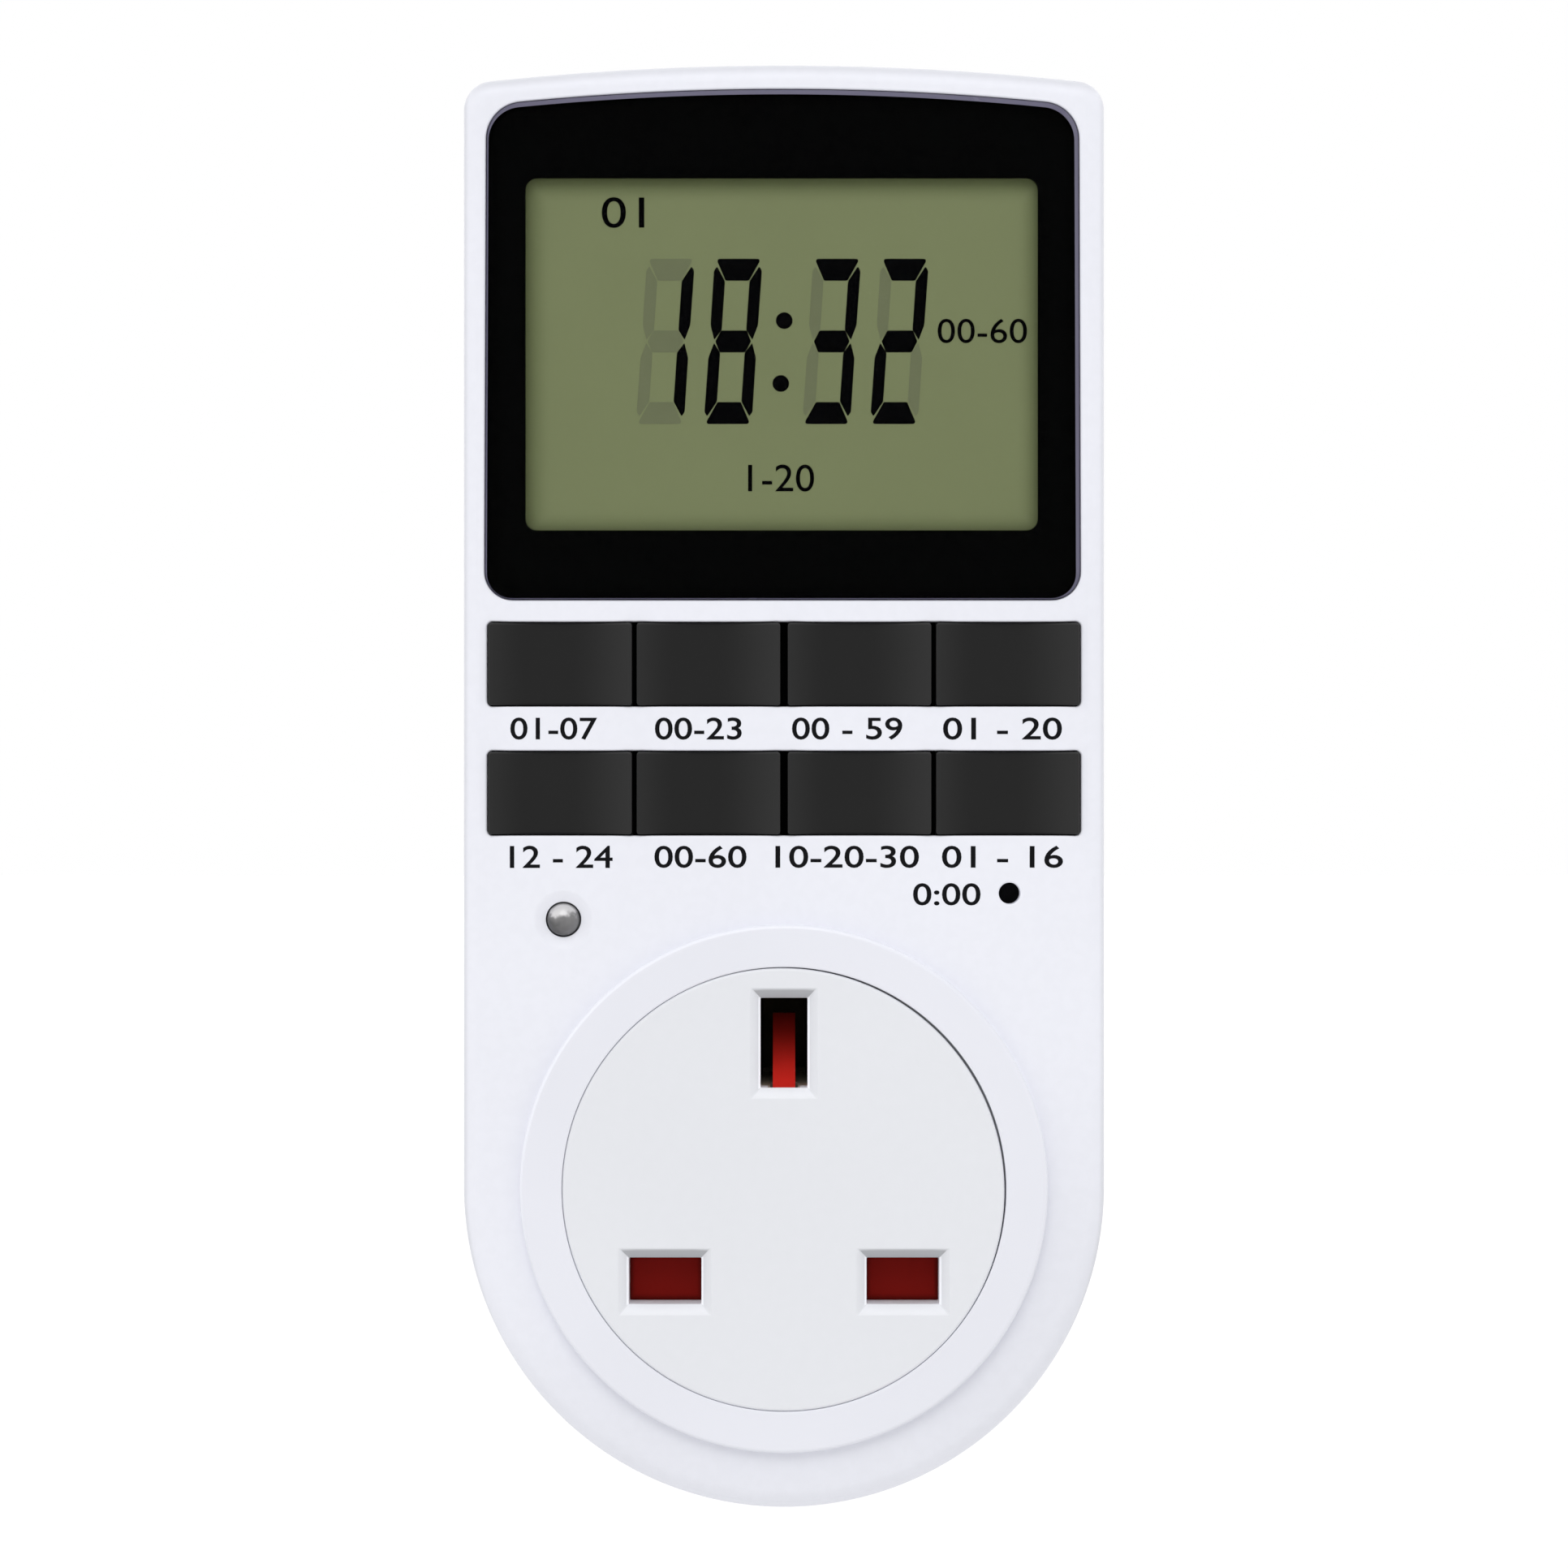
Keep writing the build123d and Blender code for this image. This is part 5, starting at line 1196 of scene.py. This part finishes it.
def coil(x, y, low, high, radius, wire, turns, around=8, steps=28):
    """Round wire on a helix about the upright line through (x, y), closed at both ends.

    The path is (x + radius cos a, y + radius sin a, low + (high - low) a / (2 pi turns)). Its section is a circle in
    the plane of the outward direction (cos a, sin a, 0) and the one at right angles to it and to the path.
    """
    a = np.linspace(0, 2 * math.pi * turns, int(turns * steps) + 1)
    rate = (high - low) / (2 * math.pi * turns)
    out = np.column_stack([np.cos(a), np.sin(a), np.zeros(len(a))])
    along = np.column_stack([-radius * np.sin(a), radius * np.cos(a), np.full(len(a), rate)])
    other = np.cross(out, along / np.linalg.norm(along, axis=1)[:, None])
    path = np.column_stack([x + radius * out[:, 0], y + radius * out[:, 1], low + rate * a])
    b = 2 * math.pi * np.arange(around) / around
    grid = path[:, None] + wire * (np.cos(b)[None, :, None] * out[:, None] + np.sin(b)[None, :, None] * other[:, None])
    shell = Shell()
    shell.band(np.concatenate([np.repeat(path[:1, None], around, axis=1), grid,
                               np.repeat(path[-1:, None], around, axis=1)]))
    return shell


class TIMER_OT_soft_parts(bpy.types.Operator):
    """Keypad mat with a dome for each key, and the return spring of the shutter"""
    bl_idname = "timer_switch.soft_parts"
    bl_label = "Mat and spring"

    def execute(self, context):
        s = context.scene.timer_soft
        low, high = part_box("keypad_mat")
        top, back = low[1], high[1]
        seat = back - s.mat_base
        sheet = rounded(0, centre((low, high), 2), high[0] - low[0], high[2] - low[2], s.mat_corner, 6, 12)
        base = Shell()
        base.wall(sheet.at(), seat, back)
        middles = [(centre(box, 0), centre(box, 2)) for box in key_boxes()]
        bore, turn, skin = s.dome + 0.15 * MM, 0.2 * MM, 0.6 * MM
        wells = [circle(x, z, bore, 40).at() for x, z in middles]
        for well in wells:
            base.wall(well, seat, back)
        for depth in (seat, back):
            base.face([sheet.at()] + wells, depth)
        piece("mat_base", base.mesh("mat_base"), "case", "mat", ["keypad_mat"])
        for name, (x, z) in zip(KEYS, middles):
            dome = Shell()
            dome.band(lathe(x, z, [(0, top), (s.dome - turn, top), (s.dome, top + turn), (s.dome_foot, seat),
                                   (bore, seat), (s.dome - skin, top + s.dome_skin), (0, top + s.dome_skin)], 40))
            ob = piece(name + "_dome", dome.mesh(name + "_dome"), "case", "mat", ())
            name + "_press"
            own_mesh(ob)
        low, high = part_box("shutter_spring")
        x, y, tall = centre((low, high), 0), centre((low, high), 1), high[2] - low[2]
        wound = coil(x, y, low[2] + s.wire, high[2] - s.wire, (high[0] - low[0]) / 2 - s.wire, s.wire, s.turns)
        ob = piece("return_spring", wound.mesh("return_spring", 80.0), "case", "steel",
                   ["shutter_spring"])
        1 - s.shutter_travel / tall
        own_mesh(ob)
        return {"FINISHED"}


class TIMER_OT_legends(bpy.types.Operator):
    """Plain numbers printed under the keys and over the reset hole"""
    bl_idname = "timer_switch.legends"
    bl_label = "Legends"

    def execute(self, context):
        mesh = words_mesh("key_numbers", CASE_NUMBERS, context.scene.timer_case.front, 0.03 * MM, 0.008)
        piece("key_numbers", mesh, "case", "ink", ())
        return {"FINISHED"}


def eased_circle(radius, ease, towards, steps):
    """Circle whose radius is less by ease * cos(1.15 (a - towards))^1.5 wherever that cosine is positive."""
    loop = circle(0, 0, 1.0, steps)
    a = (np.arctan2(loop.points[:, 1], loop.points[:, 0]) - towards + math.pi) % (2 * math.pi) - math.pi
    near = np.where(np.abs(a) * 1.15 < math.pi / 2, np.cos(a * 1.15), 0.0)
    loop.points *= (radius - ease * np.clip(near, 0, 1) ** 1.5)[:, None]
    return loop


class TIMER_OT_outlet(bpy.types.Operator):
    """Socket disc with its three chamfered slots"""
    bl_idname = "timer_switch.outlet"
    bl_label = "Socket disc"

    def execute(self, context):
        s = context.scene.timer_outlet
        front, back = DISC[0][1], DISC[1][1]
        step = back - s.flange_thick
        bore = context.scene.timer_case.ring_bore
        rim = eased_circle(bore - s.gap, s.ease, math.radians(35), 192)
        snug, brim = 0.008 * MM, 1.4 * MM
        shoulder, flange = circle(0, 0, bore - snug, 192), circle(0, 0, bore + brim, 192)
        e, hair = s.edge, 0.06 * MM
        shell = Shell()
        shell.band(np.concatenate([
            stack((flange.at(), back), (flange.at(), step), (shoulder.at(), step),
                  (shoulder.at(), front + s.gap_depth), (rim.at(), front + s.gap_depth)),
            rings(rim, bend(-e, front + e, e, 0, -90, 6), [(-e - hair, front)])]))
        line, earth = (s.line_width, s.line_height), (s.earth_width, s.earth_height)
        mouths, ends = [], []
        # chamfer, the rounds at its two ends, and the corner radius of a slot
        c, k, t = s.chamfer, 0.08 * MM, 0.12 * MM
        for name, (w, h) in zip(LEFT_TO_RIGHT, (line, line, earth)):
            x, z = PINS[name][:2]
            sizes = [(c + k, front), (c, front + k * 0.4), (k, front + c - k * 0.4), (0, front + c + k), (0, back)]
            rows = [(rounded(x, z, w + 2 * g, h + 2 * g, t, 4, 6).at(), y) for g, y in sizes]
            wide = rounded(x, z, w + 2 * (c + k + hair), h + 2 * (c + k + hair), t, 4, 6).at()
            shell.band(stack((wide, front), *rows))
            mouths.append(wide)
            ends.append(rows[-1][0])
        shell.face([rim.at(-e - hair)] + mouths, front)
        shell.face([flange.at()] + ends, back)
        # relief behind the face for the nose of the shutter's ramp
        relief = Shell()
        relief.block(rounded(0, 4.45 * MM, 3.0 * MM, 10.9 * MM, 0.05 * MM, 2, 2).at(), -40.8 * MM, back + 1.0 * MM)
        mesh = carve(shell.mesh("socket_face"), relief.mesh("relief"))
        piece("socket_face", mesh, "case", "disc", ["socket_disc"])
        return {"FINISHED"}


class TIMER_OT_lamp(bpy.types.Operator):
    """Status lamp with the metal inside it, and the reset button"""
    bl_idname = "timer_switch.lamp"
    bl_label = "Lamp and reset button"

    def execute(self, context):
        x, z = centre(LAMP, 0), centre(LAMP, 2)
        tip, back = LAMP[0][1], LAMP[1][1]
        r, flange = 1.6 * MM, (LAMP[1][0] - LAMP[0][0]) / 2
        dome = bend(0, tip + r, r, -90, 0, 14)
        shell = Shell()
        shell.band(lathe(x, z, np.vstack([dome, [(r, back - 1.0 * MM), (flange, back - 1.0 * MM), (flange, back),
                                                 (0, back)]]), 56))
        piece("lamp_dome", shell.mesh("lamp_dome"), "case", "lamp", ["status_lamp"])
        inside, within, bottom = Shell(), r - 0.04 * MM, tip + 2.4 * MM
        ball = bend(0, tip + r, within, -90, 0, 12)
        inside.band(lathe(x, z, np.vstack([ball, [(within, bottom), (0, bottom)]]), 48))
        piece("lamp_cup", inside.mesh("lamp_cup"), "case", "cup", ())
        low, high = BUTTON
        radius, e = (high[0] - low[0]) / 2, 0.3 * MM
        knob = Shell()
        knob.band(lathe(centre(BUTTON, 0), centre(BUTTON, 2), np.vstack([
            [(0, low[1])], bend(radius - e, low[1] + e, e, -90, 0, 5), [(radius, high[1]), (0, high[1])]]), 40))
        piece("reset_knob", knob.mesh("reset_knob"), "reset_button", "mat", ["reset_button"])
        return {"FINISHED"}


def pin_shell(x, z, w, h, tip, start):
    """A flat pin: its outline carried back along Y, drawn in by a chamfer at its tip and softened there."""
    chamfer, soft = 1.0 * MM, 0.15 * MM
    sides = rounded(x, z, w, h, PIN_CORNER, 5, 4)
    shell = Shell()
    rows = [(sides.at(), start), (sides.at(), tip - chamfer - soft)]
    for g, y in ((0.12, -chamfer + soft * 0.6), (0.75, -0.35 * chamfer), (0.92, -0.10 * chamfer), (1.05, 0.0)):
        inset = 2 * g * chamfer * 0.9
        rows.append((rounded(x, z, w - inset, h - inset, PIN_CORNER, 5, 4).at(), tip + y))
    shell.band(stack(*rows))
    shell.face([rows[0][0]], start)
    shell.face([rows[-1][0]], tip)
    return shell


class TIMER_OT_pins(bpy.types.Operator):
    """Three plug pins with the sleeves of the two line pins"""
    bl_idname = "timer_switch.pins"
    bl_label = "Plug pins"

    def execute(self, context):
        # the bare blade of a line pin starts inside the end of its sleeve
        bare, sleeve_end = 9.0 * MM, 9.5 * MM
        sleeves = Shell()
        for name, (x, z, w, h, tip) in PINS.items():
            sleeved = name != "earth_pin"
            shell = pin_shell(x, z, w, h, tip, bare if sleeved else PIN_ROOT)
            piece(name + "_blade", shell.mesh(name + "_blade"), "case", "brass", [name])
        for x, z, w, h, _ in (PINS["neutral_pin"], PINS["live_pin"]):
            outer = rounded(x, z, w, h, PIN_CORNER, 5, 4)
            sleeves.band(rings(outer, [(0, PIN_ROOT), (0, 9.3 * MM), (-0.06 * MM, 9.44 * MM),
                                       (-0.15 * MM, sleeve_end)]))
            sleeves.face([outer.at(-0.15 * MM)], sleeve_end)
            sleeves.face([outer.at()], PIN_ROOT)
        piece("pin_covers", sleeves.mesh("pin_covers"), "case", "sleeve", ["pin_sleeves"])
        return {"FINISHED"}


class TIMER_OT_finishes(bpy.types.Operator):
    """Materials of the pieces that keep their CAD surface"""
    bl_idname = "timer_switch.finishes"
    bl_label = "Materials"

    def execute(self, context):
        slots = {part["node"]: part["material_slot"] for part in frame["record"]["subparts"]}
        for name, ob in frame["nodes"].items():
            key = "contact" if name.endswith("_contact") else SLOT_FINISH[slots[name]]
            ob.data.materials.clear()
            ob.data.materials.append(finish_of(key))
        return {"FINISHED"}


class TIMER_OT_stage(bpy.types.Operator):
    """Floor, soft light and camera"""
    bl_idname = "timer_switch.stage"
    bl_label = "Stage"

    def execute(self, context):
        scene, s = context.scene, context.scene.timer_stage
        scene.view_settings.view_transform = "Standard"
        reach, sensor = 6.0, 36.0
        u, v = np.meshgrid(np.linspace(-reach, reach, 3), np.linspace(-reach, reach, 3))
        points = np.column_stack([u.ravel(), v.ravel(), np.full(9, s.floor)])
        j = np.array([0, 1, 3, 4])[:, None] + np.array([[0, 1, 4, 3]])
        mesh = bpy.data.meshes.new("floor")
        mesh.from_pydata(points.tolist(), [], j.tolist())
        mesh.materials.append(finish_of("floor"))
        floor = bpy.data.objects.new("floor", mesh)
        scene.collection.objects.link(floor)
        world = bpy.data.worlds.new("soft_sky")
        world.use_nodes = True
        scene.world = world
        sky(world.node_tree, s.horizon, s.zenith)
        for name, turn, rise, level, soft in (("key_lamp", -6, 46, s.key, 40), ("left_lamp", -74, 10, s.side, 80),
                                              ("right_lamp", 74, 10, s.side, 80), ("rear_lamp", 172, 16, s.rear, 90)):
            lamp = bpy.data.lights.new(name, "SUN")
            lamp.energy, lamp.angle = math.pi * level, math.radians(soft)
            ob = bpy.data.objects.new(name, lamp)
            ob.rotation_euler = (math.radians(90 - rise), 0.0, math.radians(turn))
            scene.collection.objects.link(ob)
        camera = bpy.data.cameras.new("camera")
        camera.sensor_width = sensor
        camera.lens = sensor * s.distance / s.field
        camera.clip_start, camera.clip_end = 0.01, 50.0
        ob = bpy.data.objects.new("camera", camera)
        ob.location = (0.0, context.scene.timer_case.front - s.distance, s.height)
        ob.rotation_euler = (math.pi / 2, 0.0, 0.0)
        scene.collection.objects.link(ob)
        scene.camera = ob
        return {"FINISHED"}


SETTINGS = (("timer_case", CaseSettings), ("timer_display", DisplaySettings), ("timer_keys", KeySettings),
            ("timer_soft", SoftSettings), ("timer_outlet", OutletSettings), ("timer_finish", FinishSettings),
            ("timer_stage", StageSettings))
OPERATORS = (TIMER_OT_finishes, TIMER_OT_front_case, TIMER_OT_rear_case, TIMER_OT_display, TIMER_OT_keys,
             TIMER_OT_soft_parts, TIMER_OT_legends, TIMER_OT_outlet, TIMER_OT_lamp, TIMER_OT_pins, TIMER_OT_stage)


class TIMER_PT_panel(bpy.types.Panel):
    """The pieces of the timer switch and their sizes"""
    bl_idname = "TIMER_PT_panel"
    bl_label = "Timer switch"
    bl_space_type = "VIEW_3D"
    bl_region_type = "UI"
    bl_category = "Timer switch"

    def draw(self, context):
        for name, kind in SETTINGS:
            box = self.layout.box()
            box.label(text=kind.__name__.replace("Settings", ""))
            for key in kind.__annotations__:
                box.prop(getattr(context.scene, name), key)
        for operator in OPERATORS:
            self.layout.operator(operator.bl_idname)


def register():
    for name, kind in SETTINGS:
        bpy.utils.register_class(kind)
        setattr(bpy.types.Scene, name, PointerProperty(type=kind))
    for kind in OPERATORS + (TIMER_PT_panel,):
        bpy.utils.register_class(kind)


def unregister():
    for kind in (TIMER_PT_panel,) + OPERATORS[::-1]:
        bpy.utils.unregister_class(kind)
    for name, kind in SETTINGS[::-1]:
        delattr(bpy.types.Scene, name)
        bpy.utils.unregister_class(kind)


def main():
    register()
    bpy.ops.timer_switch.finishes()
    bpy.ops.timer_switch.front_case()
    bpy.ops.timer_switch.rear_case()
    bpy.ops.timer_switch.display()
    bpy.ops.timer_switch.keys()
    bpy.ops.timer_switch.soft_parts()
    bpy.ops.timer_switch.legends()
    bpy.ops.timer_switch.outlet()
    bpy.ops.timer_switch.lamp()
    bpy.ops.timer_switch.pins()
    bpy.ops.timer_switch.stage()


if __name__ == "__main__":
    main()
